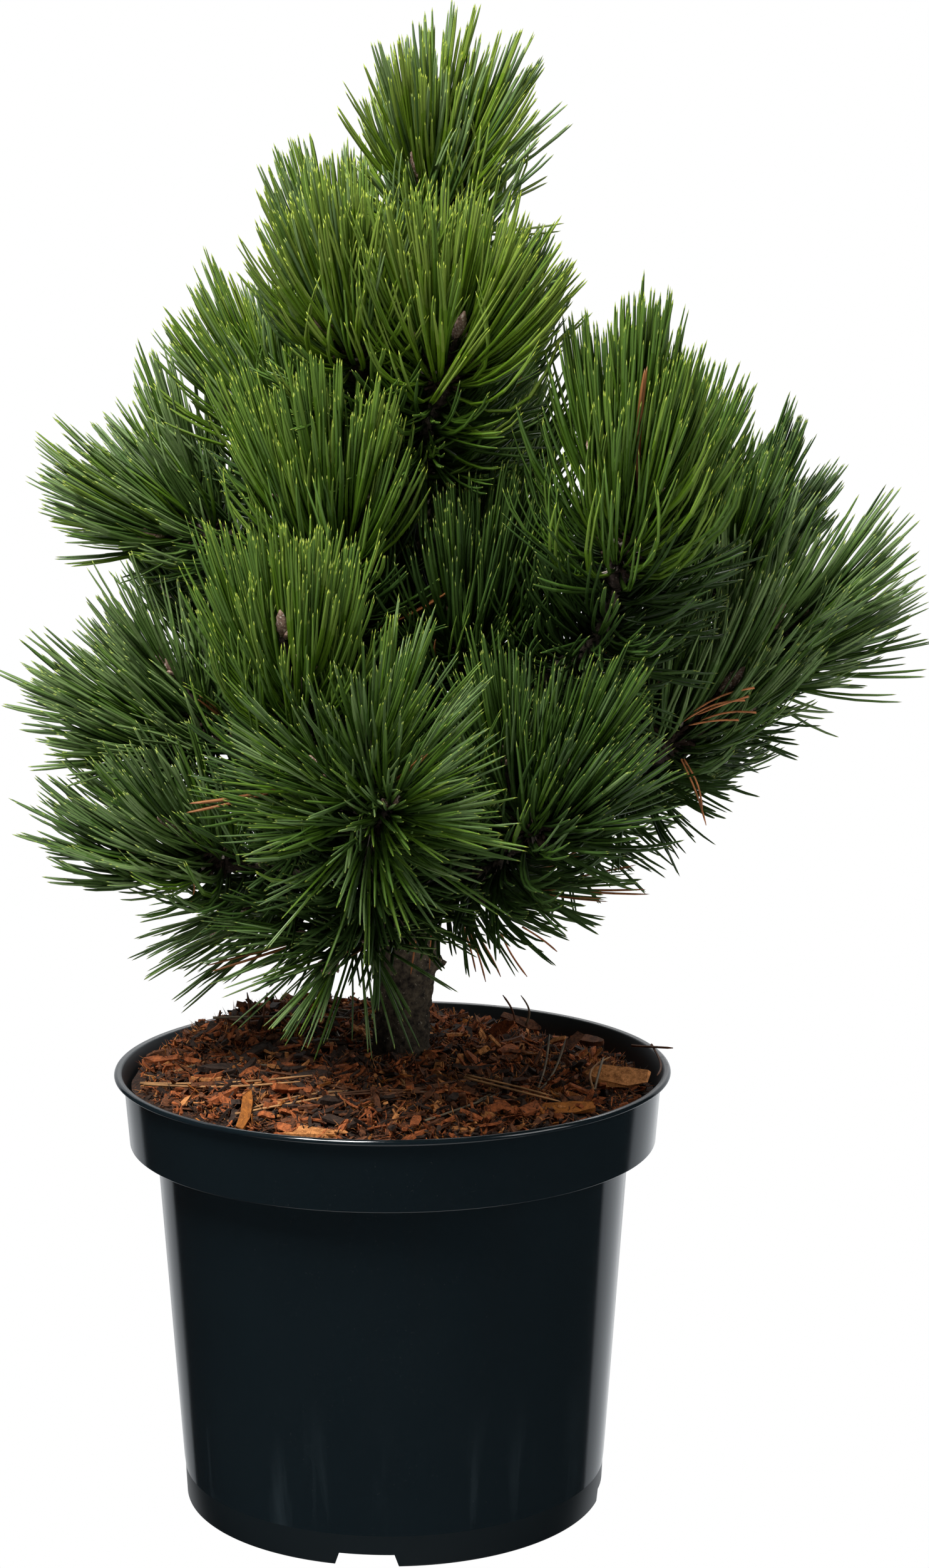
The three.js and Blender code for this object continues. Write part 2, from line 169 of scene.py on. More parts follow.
# Grain for wood, bark and mulch: three colours dealt out by noise, and a height for the bump
def makeGrainGroup():
    group = bpy.data.node_groups.new("woodGrain", "ShaderNodeTree")
    sockets = [
        ("INPUT", "Vector", ("Vector",)), ("INPUT", "Float", ("Scale", "Fleck Scale", "Fleck Share")),
        ("INPUT", "Color", ("Dark", "Light", "Fleck")), ("OUTPUT", "Color", ("Colour",)),
        ("OUTPUT", "Float", ("Height",)),
    ]
    for side, kind, names in sockets:
        for name in names:
            group.interface.new_socket(name, in_out=side, socket_type=f"NodeSocket{kind}")
    given = addNode(group, "NodeGroupInput").outputs
    out = addNode(group, "NodeGroupOutput").inputs
    broad = addNode(group, "ShaderNodeTexNoise", Detail=6.0, Roughness=0.65)
    flecks = addNode(group, "ShaderNodeTexNoise", Detail=3.0, Roughness=0.5)
    sharpen = addRange(group, 0.35, 0.65)
    chosen = addNode(group, "ShaderNodeMath", operation="GREATER_THAN")
    base, final = addBlend(group), addBlend(group)
    joinNodes(
        group,
        (given["Vector"], broad.inputs["Vector"]), (given["Vector"], flecks.inputs["Vector"]),
        (given["Scale"], broad.inputs["Scale"]), (given["Fleck Scale"], flecks.inputs["Scale"]),
        (broad.outputs["Fac"], sharpen.inputs["Value"]), (sharpen.outputs["Result"], base.inputs["Factor"]),
        (given["Dark"], base.inputs["A"]), (given["Light"], base.inputs["B"]),
        (flecks.outputs["Fac"], chosen.inputs[0]), (given["Fleck Share"], chosen.inputs[1]),
        (chosen.outputs["Value"], final.inputs["Factor"]), (base.outputs["Result"], final.inputs["A"]),
        (given["Fleck"], final.inputs["B"]), (final.outputs["Result"], out["Colour"]),
        (broad.outputs["Fac"], out["Height"]),
    )
    return group


grainGroup = makeGrainGroup()


# Painted shade: darkens a colour towards the ground under the crown: a share at low, none from high up
def paintFootShade(tree, place, colour, low, high, share):
    height = addNode(tree, "ShaderNodeSeparateXYZ")
    rise = addRange(tree, low, high, share)
    paintedShade = addBlend(tree, blend_type="MULTIPLY", Factor=1.0)
    joinNodes(
        tree,
        (place.outputs["Object"], height.inputs[0]), (height.outputs["Z"], rise.inputs["Value"]),
        (colour, paintedShade.inputs["A"]), (rise.outputs["Result"], paintedShade.inputs["B"]),
    )
    return paintedShade.outputs["Result"]


def grainMaterial(name, look):
    material, shader = newMaterial(name, look["light"], look["roughness"], 0.3)
    tree = material.node_tree
    place = addNode(tree, "ShaderNodeTexCoord")
    grain = addNode(tree, "ShaderNodeGroup", node_tree=grainGroup)
    for socket, key in (("Scale", "scale"), ("Fleck Scale", "fleckScale"), ("Fleck Share", "fleckFrom")):
        grain.inputs[socket].default_value = look[key]
    for socket, key in (("Dark", "dark"), ("Light", "light"), ("Fleck", "fleck")):
        grain.inputs[socket].default_value = (*look[key], 1)
    bump = addNode(tree, "ShaderNodeBump", Strength=look["bump"], Distance=look["bumpDepth"])
    colour = grain.outputs["Colour"]
    if "paintedFootShade" in look:
        colour = paintFootShade(tree, place, colour, *look["paintedFootShade"])
    joinNodes(
        tree,
        (place.outputs["Object"], grain.inputs["Vector"]), (colour, shader.inputs["Base Color"]),
        (grain.outputs["Height"], bump.inputs["Height"]), (bump.outputs["Normal"], shader.inputs["Normal"]),
    )
    return material


# Camera: one long lens, level with the crown and tipped down a little

cameraView = {"place": (0.0361, -1.509, 0.614), "downwards": 9.36, "lens": 70.63, "sensor": 36}


def makeCamera():
    data = bpy.data.cameras.new("camera")
    data.lens = cameraView["lens"]
    data.sensor_width = cameraView["sensor"]
    camera = addObject("camera", data)
    camera.location = cameraView["place"]
    camera.rotation_euler = (math.radians(90 - cameraView["downwards"]), 0, 0)
    bpy.context.scene.camera = camera


makeCamera()


# The plant's plan: the same rows, seeds and formulas as the solids

trunk = {
    "soil": 226, "top": 622, "footX": 4, "topX": 20, "sway": 2.5, "swayRate": 9,
    "rings": [
        (226.3, 16.5), (232, 14.2), (248, 13.4), (266, 15), (282, 16), (298, 15.2), (330, 13),
        (370, 11.6), (420, 10.2), (470, 8.8), (520, 7.4), (570, 5.8), (622, 4.2),
    ],
    "stub": {"height": 274, "reach": 4.5, "edge": 4.95, "flat": 1.8, "ragged": 2.2, "raggedSize": 1.1},
}
growth = {
    "rise": 0.35, "leave": 0.35, "arrive": 0.3, "footRadius": 3, "footMost": 5.6, "spanPerRadius": 45,
    "endRadius": 2.6, "flare": 1.3, "flareReach": 1 / 6, "gap": 0.3, "stemLength": 8,
    "shootLift": 0.28, "shootJitter": 24, "spreadShares": (0.9, 1.2), "sideShares": (0.72, 0.94),
    "firstSeed": 100,
}
# Each row as rowNames says: the place is a height on the trunk or a share of the carrying bough, turn and
# pitch are the heading at the end, and green runs from 0, the lightest, to 5
rowNames = (
    "name", "carrier", "place", "end", "turn", "pitch", "shoots", "spread", "roll", "length", "green",
)
# A tuft's green is partly its needles' own tone and partly painted shade, darker for the lower and inner
# tufts
tuftRows = [
    ("leader", "trunk", 622.3, None, 0, 88, 4, 30, 0, 48, 0.3),
    ("top_back_left", "trunk", 552, (-16, 28, 582), 158, 66, 3, 28, 20, 38, 1.2),
    ("top_front_left", "trunk", 490, (-12, -74, 566), -112, 66, 4, 36, 60, 27, 0.6),
    ("top_front_right", "trunk", 512, (22, -82, 556), -58, 58, 4, 38, 0, 29, 0.7),
    ("top_right", "trunk", 510, (28, 44, 544), 30, 56, 4, 36, 30, 42, 3.7),
    ("top_back", "trunk", 486, (6, 62, 536), 96, 56, 3, 38, 0, 46, 3.0),
    ("high_left", "trunk", 462, (-38, -12, 520), 172, 58, 4, 41, 0, 44, 1.8),
    ("outer_left", "trunk", 440, (-76, 4, 486), 178, 14, 4, 39, 90, 42, 1.9),
    ("high_front", "trunk", 416, (-22, -84, 464), -112, 72, 3, 30, 0, 54, 2.1),
    ("front_left", "trunk", 346, (-38, -120, 396), -104, 66, 4, 28, 0, 58, 2.7),
    ("mid_left", "trunk", 352, (-76, -22, 388), -172, 14, 4, 36, 0, 48, 3.6),
    ("low_left", "trunk", 298, (-68, -58, 336), -172, 9, 4, 32, 30, 44, 3.6),
    ("low_front", "trunk", 310, (-8, -134, 358), -86, 48, 4, 34, 0, 52, 2.8),
    ("low_back_left", "trunk", 282, (-38, 42, 300), 168, -22, 3, 30, 0, 40, 4.2),
    ("lowest_front", "trunk", 278, (-12, -44, 302), -112, -14, 3, 32, 0, 32, 4.0),
    ("low_front_right", "trunk", 328, (58, -96, 350), -44, 48, 4, 38, 45, 50, 4.1),
    ("far_right", "trunk", 340, (161, 8, 410), 0, 41, 4, 44, 0, 50, 3.8),
    ("mid_right", "far_right", 0.62, (126, -34, 382), -14, 46, 3, 32, 60, 42, 3.8),
    ("under_right", "far_right", 0.4, (94, 26, 346), 4, 14, 3, 32, 0, 42, 4.4),
    ("lowest_right", "trunk", 286, (36, 16, 306), -10, 8, 3, 36, 0, 36, 4.4),
    ("front_right", "trunk", 400, (105, -104, 473), -66, 74, 3, 24, 60, 62, 2.5),
    ("outer_front_right", "front_right", 0.6, (120, -60, 477), -4, 58, 3, 34, 0, 28, 3.0),
    ("inner_front_right", "trunk", 374, (34, -58, 420), -50, 64, 3, 32, 0, 46, 3.8),
    ("mid_back", "trunk", 430, (36, 72, 482), 62, 40, 4, 38, 0, 48, 3.0),
    ("back_left", "trunk", 376, (-80, 70, 416), 146, 38, 4, 38, 45, 48, 3.4),
    ("back_right", "trunk", 388, (155, 46, 440), 8, 62, 4, 38, 0, 50, 4.0),
    ("low_back", "trunk", 318, (-14, 108, 358), 98, 30, 4, 38, 0, 48, 3.8),
    ("low_back_right", "trunk", 306, (66, 74, 340), 44, 28, 4, 38, 45, 46, 4.2),
]
tufts = [dict(zip(rowNames, row)) for row in tuftRows]


# The same run of numbers from 0 to 1 that the solids draw
def seeded(seed):
    state = seed

    def draw():
        nonlocal state
        state = (state + 0x6D2B79F5) & 0xFFFFFFFF
        mixed = ((state ^ (state >> 15)) * (state | 1)) & 0xFFFFFFFF
        turned = ((mixed ^ (mixed >> 7)) * (mixed | 61)) & 0xFFFFFFFF
        mixed ^= (mixed + turned) & 0xFFFFFFFF
        return (mixed ^ (mixed >> 14)) / 4294967296

    return draw


def between(ends, share):
    return ends[0] + (ends[1] - ends[0]) * share


def compass(turn, pitch):
    turn, pitch = math.radians(turn), math.radians(pitch)
    flat = math.cos(pitch)
    return Vector((flat * math.cos(turn), flat * math.sin(turn), math.sin(pitch)))


# Two directions across an axis, a quarter turn apart
def acrossAxis(axis):
    across = axis.cross(up)
    across = Vector((1, 0, 0)) if across.length < 0.05 else across.normalized()
    return across, across.cross(axis).normalized()


def tilted(axis, angle, turn):
    across, over = acrossAxis(axis)
    angle, turn = math.radians(angle), math.radians(turn)
    side = across * math.cos(turn) + over * math.sin(turn)
    return axis * math.cos(angle) + side * math.sin(angle)


def trunkCentre(height):
    share = (height - trunk["soil"]) / (trunk["top"] - trunk["soil"])
    sway = trunk["sway"] * math.sin(share * trunk["swayRate"])
    return Vector((trunk["footX"] + (trunk["topX"] - trunk["footX"]) * share, sway, height))


def curvePoint(curve, share):
    a, b, c, d = curve
    rest = 1 - share
    return a * rest**3 + b * (3 * rest**2 * share) + c * (3 * rest * share**2) + d * share**3


def curveTangent(curve, share):
    a, b, c, d = curve
    rest = 1 - share
    return ((b - a) * rest**2 + (c - b) * (2 * rest * share) + (d - c) * share**2).normalized()


def planLimb(tuft, limbs):
    heading = compass(tuft["turn"], tuft["pitch"])
    if tuft["end"] is None:
        return {"tip": trunkCentre(tuft["place"]), "heading": heading, "curve": None}
    tip = Vector(tuft["end"])
    parent = limbs.get(tuft["carrier"])
    start = curvePoint(parent["curve"], tuft["place"]) if parent else trunkCentre(tuft["place"])
    span = (tip - start).length
    outward = (tip - start).normalized()
    if parent:
        leave = (outward + curveTangent(parent["curve"], tuft["place"])).normalized()
    else:
        leave = Vector((outward.x, outward.y, growth["rise"] * outward.z)).normalized()
    curve = (start, start + leave * span * growth["leave"], tip - heading * span * growth["arrive"], tip)
    foot = min(growth["footMost"], growth["footRadius"] + span / growth["spanPerRadius"])
    return {"tip": tip, "heading": heading, "curve": curve, "foot": foot}


def limbRadius(limb, share):
    flare = growth["flare"] * max(0, 1 - share / growth["flareReach"])
    return limb["foot"] + (growth["endRadius"] - limb["foot"]) * share + flare


# Middles, directions and radii at some shares of a bough's length
def alongBough(limb, shares):
    centres = [curvePoint(limb["curve"], share) for share in shares]
    axes = [curveTangent(limb["curve"], share) for share in shares]
    return centres, axes, [limbRadius(limb, share) for share in shares]


def planShoots(tuft, limb, seed):
    draw = seeded(seed)
    base = limb["tip"] + limb["heading"] * growth["gap"]
    fork = base + limb["heading"] * growth["stemLength"]
    shoots = []
    for i in range(tuft["shoots"]):
        fan = 360 * (i - 1) / (tuft["shoots"] - 1)
        turn = tuft["roll"] + fan + growth["shootJitter"] * (draw() - 0.5)
        angle = 0 if i == 0 else tuft["spread"] * between(growth["spreadShares"], draw())
        axis = tilted(limb["heading"], angle, turn)
        if i > 0:
            axis.z += growth["shootLift"]
        axis.normalize()
        length = tuft["length"] * (1 if i == 0 else between(growth["sideShares"], draw()))
        shoots.append({"start": fork, "axis": axis, "length": length, "end": fork + axis * length})
    return {"base": base, "fork": fork, "shoots": shoots}


limbs = {}
plans = []
for i, tuft in enumerate(tufts):
    limbs[tuft["name"]] = planLimb(tuft, limbs)
    plans.append(planShoots(tuft, limbs[tuft["name"]], growth["firstSeed"] + i))
print("planned:", len(limbs), "limbs and", sum(len(plan["shoots"]) for plan in plans), "shoots")


# Pot: a thin shell spun round its axis, its ring edges rounded, with drain notches at the foot

pot = {
    "rimRadius": 140, "rimHeight": 222, "lip": 2.4, "collarTop": 135.3, "collarFoot": 132.6,
    "collarHeight": 185, "bodyTop": 119.4, "bodyFoot": 107.8, "step": 18.4, "stepRise": 5,
    "footTop": 107.2, "foot": 106.4, "wall": 2, "floor": 2.6, "sides": 160, "round": 0.8,
    "notches": 4, "notchTurn": -96, "notchFoot": 32, "notchTop": 27, "notchHeight": 6.2, "notchDepth": 16,
    "beadSide": 0.9, "beadFrom": 1.2, "beadTo": 3.7, "beadFall": 0.5, "beadFoot": 8, "insideFrom": 50,
    "colour": (0.0032, 0.0062, 0.0082), "worn": (0.0050, 0.0086, 0.0108), "roughness": (0.07, 0.15),
    # the inner wall is painted paler than the outside: a painted reflection
    "inside": {"colour": (0.020, 0.025, 0.029), "roughness": 0.42},
    "matt": {"colour": (0.0040, 0.0075, 0.0096), "roughness": 0.36},
    # painted sheen in streaks down the lower wall (their noise also varies roughness), cloudy wear, and fine
    # specks of dust
    "sheenStreaks": {
        "stretch": (60, 60, 3.5), "heights": (0.085, 0.035), "shares": (0.56, 0.78),
        "colour": (0.014, 0.021, 0.025),
    },
    "clouds": 14.0,
    "dust": {"scale": 2200.0, "shares": (0.73, 0.78), "colour": (0.030, 0.031, 0.030)},
}


def potMaterial():
    sheenStreaks, dust = pot["sheenStreaks"], pot["dust"]
    material, shader = newMaterial("potPlastic", pot["colour"], between(pot["roughness"], 0.5))
    tree = material.node_tree
    place = addNode(tree, "ShaderNodeTexCoord")
    stretch = addNode(tree, "ShaderNodeMapping")
    stretch.inputs["Scale"].default_value = sheenStreaks["stretch"]
    streakNoise = addNode(tree, "ShaderNodeTexNoise", Scale=1.0, Detail=4.0, Roughness=0.6)
    cloudy = addNode(tree, "ShaderNodeTexNoise", Scale=pot["clouds"], Detail=5.0, Roughness=0.6)
    grains = addNode(tree, "ShaderNodeTexNoise", Scale=dust["scale"], Detail=1.0)
    specks = addRange(tree, *dust["shares"])
    shine = addRange(tree, 0.3, 0.7, *pot["roughness"])
    height = addNode(tree, "ShaderNodeSeparateXYZ")
    low = addRange(tree, *sheenStreaks["heights"])
    fine = addRange(tree, *sheenStreaks["shares"])
    sheenShare = addNode(tree, "ShaderNodeMath", operation="MULTIPLY")
    tone = addBlend(tree, pot["colour"], pot["worn"])
    # Painted sheen: a paler colour laid in streaks over the lower wall
    withSheen = addBlend(tree, None, sheenStreaks["colour"])
    dusty = addBlend(tree, None, dust["colour"])
    bump = addNode(tree, "ShaderNodeBump", Strength=0.06, Distance=0.0006)
    everywhere = place.outputs["Object"]
    joinNodes(
        tree,
        (everywhere, stretch.inputs["Vector"]), (stretch.outputs["Vector"], streakNoise.inputs["Vector"]),
        (everywhere, cloudy.inputs["Vector"]), (everywhere, grains.inputs["Vector"]),
        (everywhere, height.inputs[0]), (height.outputs["Z"], low.inputs["Value"]),
        (streakNoise.outputs["Fac"], shine.inputs["Value"]),
        (shine.outputs["Result"], shader.inputs["Roughness"]),
        (streakNoise.outputs["Fac"], fine.inputs["Value"]), (low.outputs["Result"], sheenShare.inputs[0]),
        (fine.outputs["Result"], sheenShare.inputs[1]), (sheenShare.outputs["Value"], withSheen.inputs["Factor"]),
        (cloudy.outputs["Fac"], tone.inputs["Factor"]), (tone.outputs["Result"], withSheen.inputs["A"]),
        (grains.outputs["Fac"], specks.inputs["Value"]), (specks.outputs["Result"], dusty.inputs["Factor"]),
        (withSheen.outputs["Result"], dusty.inputs["A"]),
        (dusty.outputs["Result"], shader.inputs["Base Color"]),
        (cloudy.outputs["Fac"], bump.inputs["Height"]), (bump.outputs["Normal"], shader.inputs["Normal"]),
    )
    return material


def spinProfile(profile, sides):
    bm = bmesh.new()
    verts = [bm.verts.new((radius, 0, height)) for radius, height in profile]
    for low, high in zip(verts, verts[1:]):
        bm.edges.new((low, high))
    bmesh.ops.spin(bm, geom=bm.verts[:] + bm.edges[:], cent=(0, 0, 0), axis=(0, 0, 1),
                   angle=math.tau, steps=sides, use_merge=True)
    bmesh.ops.remove_doubles(bm, verts=bm.verts, dist=0.001)
    bmesh.ops.recalc_face_normals(bm, faces=bm.faces)
    return bm


def roundRings(bm, offset, smallest=20):
    rings = [
        edge for edge in bm.edges
        if abs(edge.verts[0].co.z - edge.verts[1].co.z) < 1e-4
        and len(edge.link_faces) == 2
        and edge.calc_face_angle(0) > math.radians(smallest)
        and abs(edge.verts[0].co.xy.length - edge.verts[1].co.xy.length) < 1e-3
    ]
    bmesh.ops.bevel(bm, geom=rings, offset=offset, segments=3, profile=0.5, affect="EDGES",
                    material=-1, clamp_overlap=True)


# The notches are cut by four wedges, by a Boolean that is applied at once
def cutNotches(mesh):
    bm = bmesh.new()
    for k in range(pot["notches"]):
        turn = Matrix.Rotation(math.radians(pot["notchTurn"] + 360 * k / pot["notches"]), 4, "Z")
        made = bmesh.ops.create_cube(bm, size=1)["verts"]
        for vert in made:
            width = pot["notchFoot"] if vert.co.z < 0 else pot["notchTop"]
            height = -1 if vert.co.z < 0 else pot["notchHeight"]
            reach = pot["foot"] + math.copysign(pot["notchDepth"], vert.co.x)
            vert.co = turn @ Vector((reach, width * math.copysign(0.5, vert.co.y), height))
    cutter = addObject("cutter", meshFromBmesh(bm, "cutter"))
    whole = addObject("whole", mesh)
    cut = whole.modifiers.new("notches", "BOOLEAN")
    cut.operation = "DIFFERENCE"
    cut.solver = "EXACT"
    cut.object = cutter
    graph = bpy.context.evaluated_depsgraph_get()
    result = bpy.data.meshes.new_from_object(whole.evaluated_get(graph))
    for thing in (cutter, whole):
        bpy.data.objects.remove(thing)
    return result


def makePot():
    half, wall, collar = pot["stepRise"] / 2, pot["wall"], pot["collarHeight"]
    rim, top, lip = pot["rimRadius"], pot["rimHeight"], pot["rimHeight"] - pot["lip"]
    profile = [
        (0, 0), (pot["foot"], 0),
        (pot["footTop"], pot["step"] - half), (pot["bodyFoot"], pot["step"] + half),
        (pot["bodyTop"], collar + 1), (pot["collarFoot"], collar), (pot["collarTop"], lip - 1), (rim, lip),
        (rim, top - pot["beadSide"]), (rim - pot["beadFrom"], top),
        (rim - pot["beadTo"], top - pot["beadFall"]), (pot["collarTop"] - wall, top - pot["beadFoot"]),
        (pot["collarFoot"] - wall, collar + wall + 1), (pot["bodyTop"] - wall, collar + wall),
        (pot["foot"] - wall, pot["floor"]), (0, pot["floor"]),
    ]
    bm = spinProfile(profile, pot["sides"])
    roundRings(bm, pot["round"])
    mesh = cutNotches(meshFromBmesh(bm, "pot_shell"))
    mesh.name = "pot_shell"
    mesh.shade_smooth()
    mesh.set_sharp_from_angle(angle=math.radians(30))
    # Faces of the inner wall above insideFrom take the paler inside colour, a painted reflection
    for face in mesh.polygons:
        inwards = face.normal.x * face.center.x + face.normal.y * face.center.y
        if face.center.z * 1000 < pot["step"]:
            face.material_index = 2
        elif inwards < 0 and face.center.z * 1000 > pot["insideFrom"]:
            face.material_index = 1
    inside, footRing = (
        newMaterial(name, pot[key]["colour"], pot[key]["roughness"])[0]
        for name, key in (("potInsidePaintedReflection", "inside"), ("potFoot", "matt"))
    )
    addPiece(mesh, "pot_shell", [potMaterial(), inside, footRing], ["pot"])


makePot()
print("pot made")


# Bed: a heap of bark mulch, level at the trunk, banked up at the back left and sunk at the back right

bed = {
    "radii": (0, 22, 50, 80, 108, 131.4), "heights": (225, 225, 225, 223, 219, 212),
    "swell": 4, "swellTurn": 150, "swellShare": 0.6, "rimRadius": 140,
    "heap": {"place": (-66, 98), "rise": 9, "width": 42},
    "dip": {"place": (92, 84), "rise": -7, "width": 46},
    "brim": {"turn": -90, "rise": 3.5}, "lumps": 2.2, "lumpSize": 16,
    "edge": 131.4, "footRadius": 117, "depth": 190, "sides": 150, "rings": 54,
    # the ground is the mulch's dark tone, darkened further as painted shade in the gaps between chips
    "look": {
        "dark": (0.008, 0.0045, 0.003), "light": (0.040, 0.017, 0.009), "fleck": (0.11, 0.044, 0.018),
        "scale": 260, "fleckScale": 900, "fleckFrom": 0.62, "roughness": 0.95,
        "bump": 0.9, "bumpDepth": 0.002,
    },
}


# A heap or a hollow in the bed, round one place
def mound(x, y, spot):
    distance = (x - spot["place"][0]) ** 2 + (y - spot["place"][1]) ** 2
    return spot["rise"] * np.exp(-distance / (2 * spot["width"] ** 2))


def bedHeight(x, y):
    radius = np.hypot(x, y)
    turn = np.arctan2(y, x)
    share = np.minimum(radius / bed["rimRadius"], 1) ** 2
    swell = bed["swell"] * np.cos(turn - math.radians(bed["swellTurn"])) * share
    brim = bed["brim"]["rise"] * np.maximum(0, np.cos(turn - math.radians(bed["brim"]["turn"]))) * share
    level = np.interp(radius, bed["radii"], bed["heights"])
    return level + swell * bed["swellShare"] + brim + mound(x, y, bed["heap"]) + mound(x, y, bed["dip"])


def makeBed():
    edgeHeight = bed["heights"][-1]
    profile = [(bed["edge"] * k / bed["rings"], edgeHeight) for k in range(bed["rings"] + 1)]
    profile += [(bed["footRadius"], bed["depth"]), (0, bed["depth"])]
    bm = spinProfile(profile, bed["sides"])
    for vert in bm.verts:
        if vert.co.z < edgeHeight - 1:
            continue
        lump = noise.fractal(vert.co / bed["lumpSize"], 0.8, 2.1, 4)
        vert.co.z = float(bedHeight(vert.co.x, vert.co.y)) + bed["lumps"] * lump
    mesh = meshFromBmesh(bm, "mulch_ground", 60)
    addPiece(mesh, "mulch_ground", [grainMaterial("mulchGround", bed["look"])], ["mulch_bed"])


makeBed()


# Chips: slim bark flakes of four stations, bent, lying on the bed and on each other

chips = {
    "seed": 11, "reach": 129.5, "trunkRoom": 15.5, "pile": 7, "edgeFall": 0.5,
    # how each flake varies, as shares of its own length, width and thickness
    "stations": (0, 0.3, 0.72, 1), "bend": 0.045, "jag": (0.72, 1.08), "ends": (0.08, 1.0),
    "shift": 0.05, "deep": (0.6, 1.1), "rough": 0.06, "widest": 0.6, "inside": 0.35, "outside": 0.5,
    # how they lie: spread of tilt and lean, how many lie low in the pile, and how far each is lifted
    "tiltSpread": 0.55, "leanSpread": 0.7, "pileCurve": 1.4, "lift": 0.3,
    "look": {
        "scale": 420, "fleckScale": 1500, "fleckFrom": 0.66, "roughness": 0.88,
        "bump": 0.6, "bumpDepth": 0.0008,
    },
    "fleckLight": 1.5, "sharp": 35,
    # tones is how many of the tones below a kind takes, and tilt is its steepest one
    "kinds": [
        {"count": 4400, "length": (3, 9), "width": (0.6, 2.2), "thick": (0.4, 0.9), "tilt": 62, "tones": 5},
        {"count": 1300, "length": (7, 16), "width": (2.0, 4.6), "thick": (0.8, 1.9), "tilt": 44, "tones": 4},
        {"count": 170, "length": (13, 23), "width": (3.4, 7.0), "thick": (1.2, 2.6), "tilt": 26, "tones": 3},
    ],
    "tones": [
        # name, how often, dark and light tone
        ("dark", 0.29, (0.009, 0.005, 0.0035), (0.052, 0.030, 0.020)),
        ("brown", 0.25, (0.034, 0.012, 0.005), (0.172, 0.062, 0.025)),
        ("russet", 0.31, (0.105, 0.026, 0.007), (0.425, 0.120, 0.034)),
        ("tan", 0.08, (0.220, 0.080, 0.020), (0.600, 0.250, 0.080)),
        ("amber", 0.07, (0.160, 0.052, 0.009), (0.360, 0.120, 0.018)),
    ],
    # the largest chips: foot, head, width, thickness, lean of the face, breadth of both ends and tone
    "named": [
        ((95.5, -33, 224), (126, -38, 224), 13, 1.8, 34, (0.3, 0.9), 3),
        ((-69, -110, 220), (-65.5, -84, 232), 5.4, 1.5, 30, (0.9, 0.06), 4),
        ((-48, -116, 219), (-21, -118, 219), 9, 5.5, 8, (0.5, 0.6), 3),
        ((-50, -106, 221), (-38, -103, 222), 6, 3.5, 20, (0.5, 0.5), 1),
        ((56, 84, 227), (76, 72, 222), 6, 1.6, 30, (0.6, 0.4), 1),
        ((94, 46, 223), (108, 39, 223), 6, 3.5, 20, (0.4, 0.5), 1),
        ((23, -39, 225), (37, -4, 227), 3.2, 1.6, 20, (0.4, 0.2), 3),
        ((-74, 37, 233), (-60, 9, 226), 2.6, 1.6, 10, (0.5, 0.2), 2),
        ((80, -52, 222), (95, -72, 221), 7, 2.4, 30, (0.9, 0.7), 4),
        ((62, -84, 221), (98, -78, 221), 8, 2.6, 24, (0.4, 0.8), 4),
        ((-98, -30, 224), (-74, -18, 227), 8, 1.8, 34, (0.5, 0.3), 2),
        ((-20, -62, 226), (-8, -84, 225), 7, 1.8, 44, (0.2, 0.7), 2),
        ((-52, -14, 226), (-26, -10, 228), 5, 2.0, 20, (0.4, 0.3), 2),
        ((48, 40, 227), (62, 30, 236), 7, 1.8, 60, (0.6, 0.3), 2),
    ],
}
# Fine fibres of bark, which stand up in tufts: three-sided spikes, each tuft in one tone
fibres = {
    "seed": 13, "tufts": 1050, "inTuft": 12, "spread": 3.4, "length": (2.5, 9), "radius": (0.16, 0.42),
    "stations": ((0, 1.0), (0.5, 0.8)), "rise": 0.55, "bend": 0.28, "pile": 0.8, "deep": 1.5, "edgeRoom": 3,
}


# Flakes from arrays of middles, headings, tops and sizes; each is a strip of four-cornered stations
def flakePoints(centres, along, top, length, width, thick, rng, ends=None):
    count = len(centres)
    stations = np.array(chips["stations"])
    side = np.cross(top, along)
    jag = rng.uniform(*chips["jag"], (count, 4, 2))
    jag[:, (0, 3)] *= (rng.uniform(*chips["ends"], (count, 2)) if ends is None else ends)[..., None]
    bend = rng.normal(0, chips["bend"], (count, 1)) * length[:, None] * (2 * stations - 1)[None] ** 2
    middle = centres[:, None] + along[:, None] * (length[:, None] * (stations - 0.5))[..., None]
    middle = middle + top[:, None] * bend[..., None]
    shift = rng.normal(0, chips["shift"], (count, 4)) * width[:, None]
    middle = middle + side[:, None] * shift[..., None]
    left = middle - side[:, None] * (width[:, None] * jag[..., 0] / 2)[..., None]
    right = middle + side[:, None] * (width[:, None] * jag[..., 1] / 2)[..., None]
    deep = top[:, None] * (thick[:, None] * rng.uniform(*chips["deep"], (count, 4)) / 2)[..., None]
    corners = np.stack([left - deep, right - deep, right + deep, left + deep], axis=2)
    corners += rng.normal(0, chips["rough"], corners.shape) * width[:, None, None, None]
    return corners.reshape(count, -1, 3)


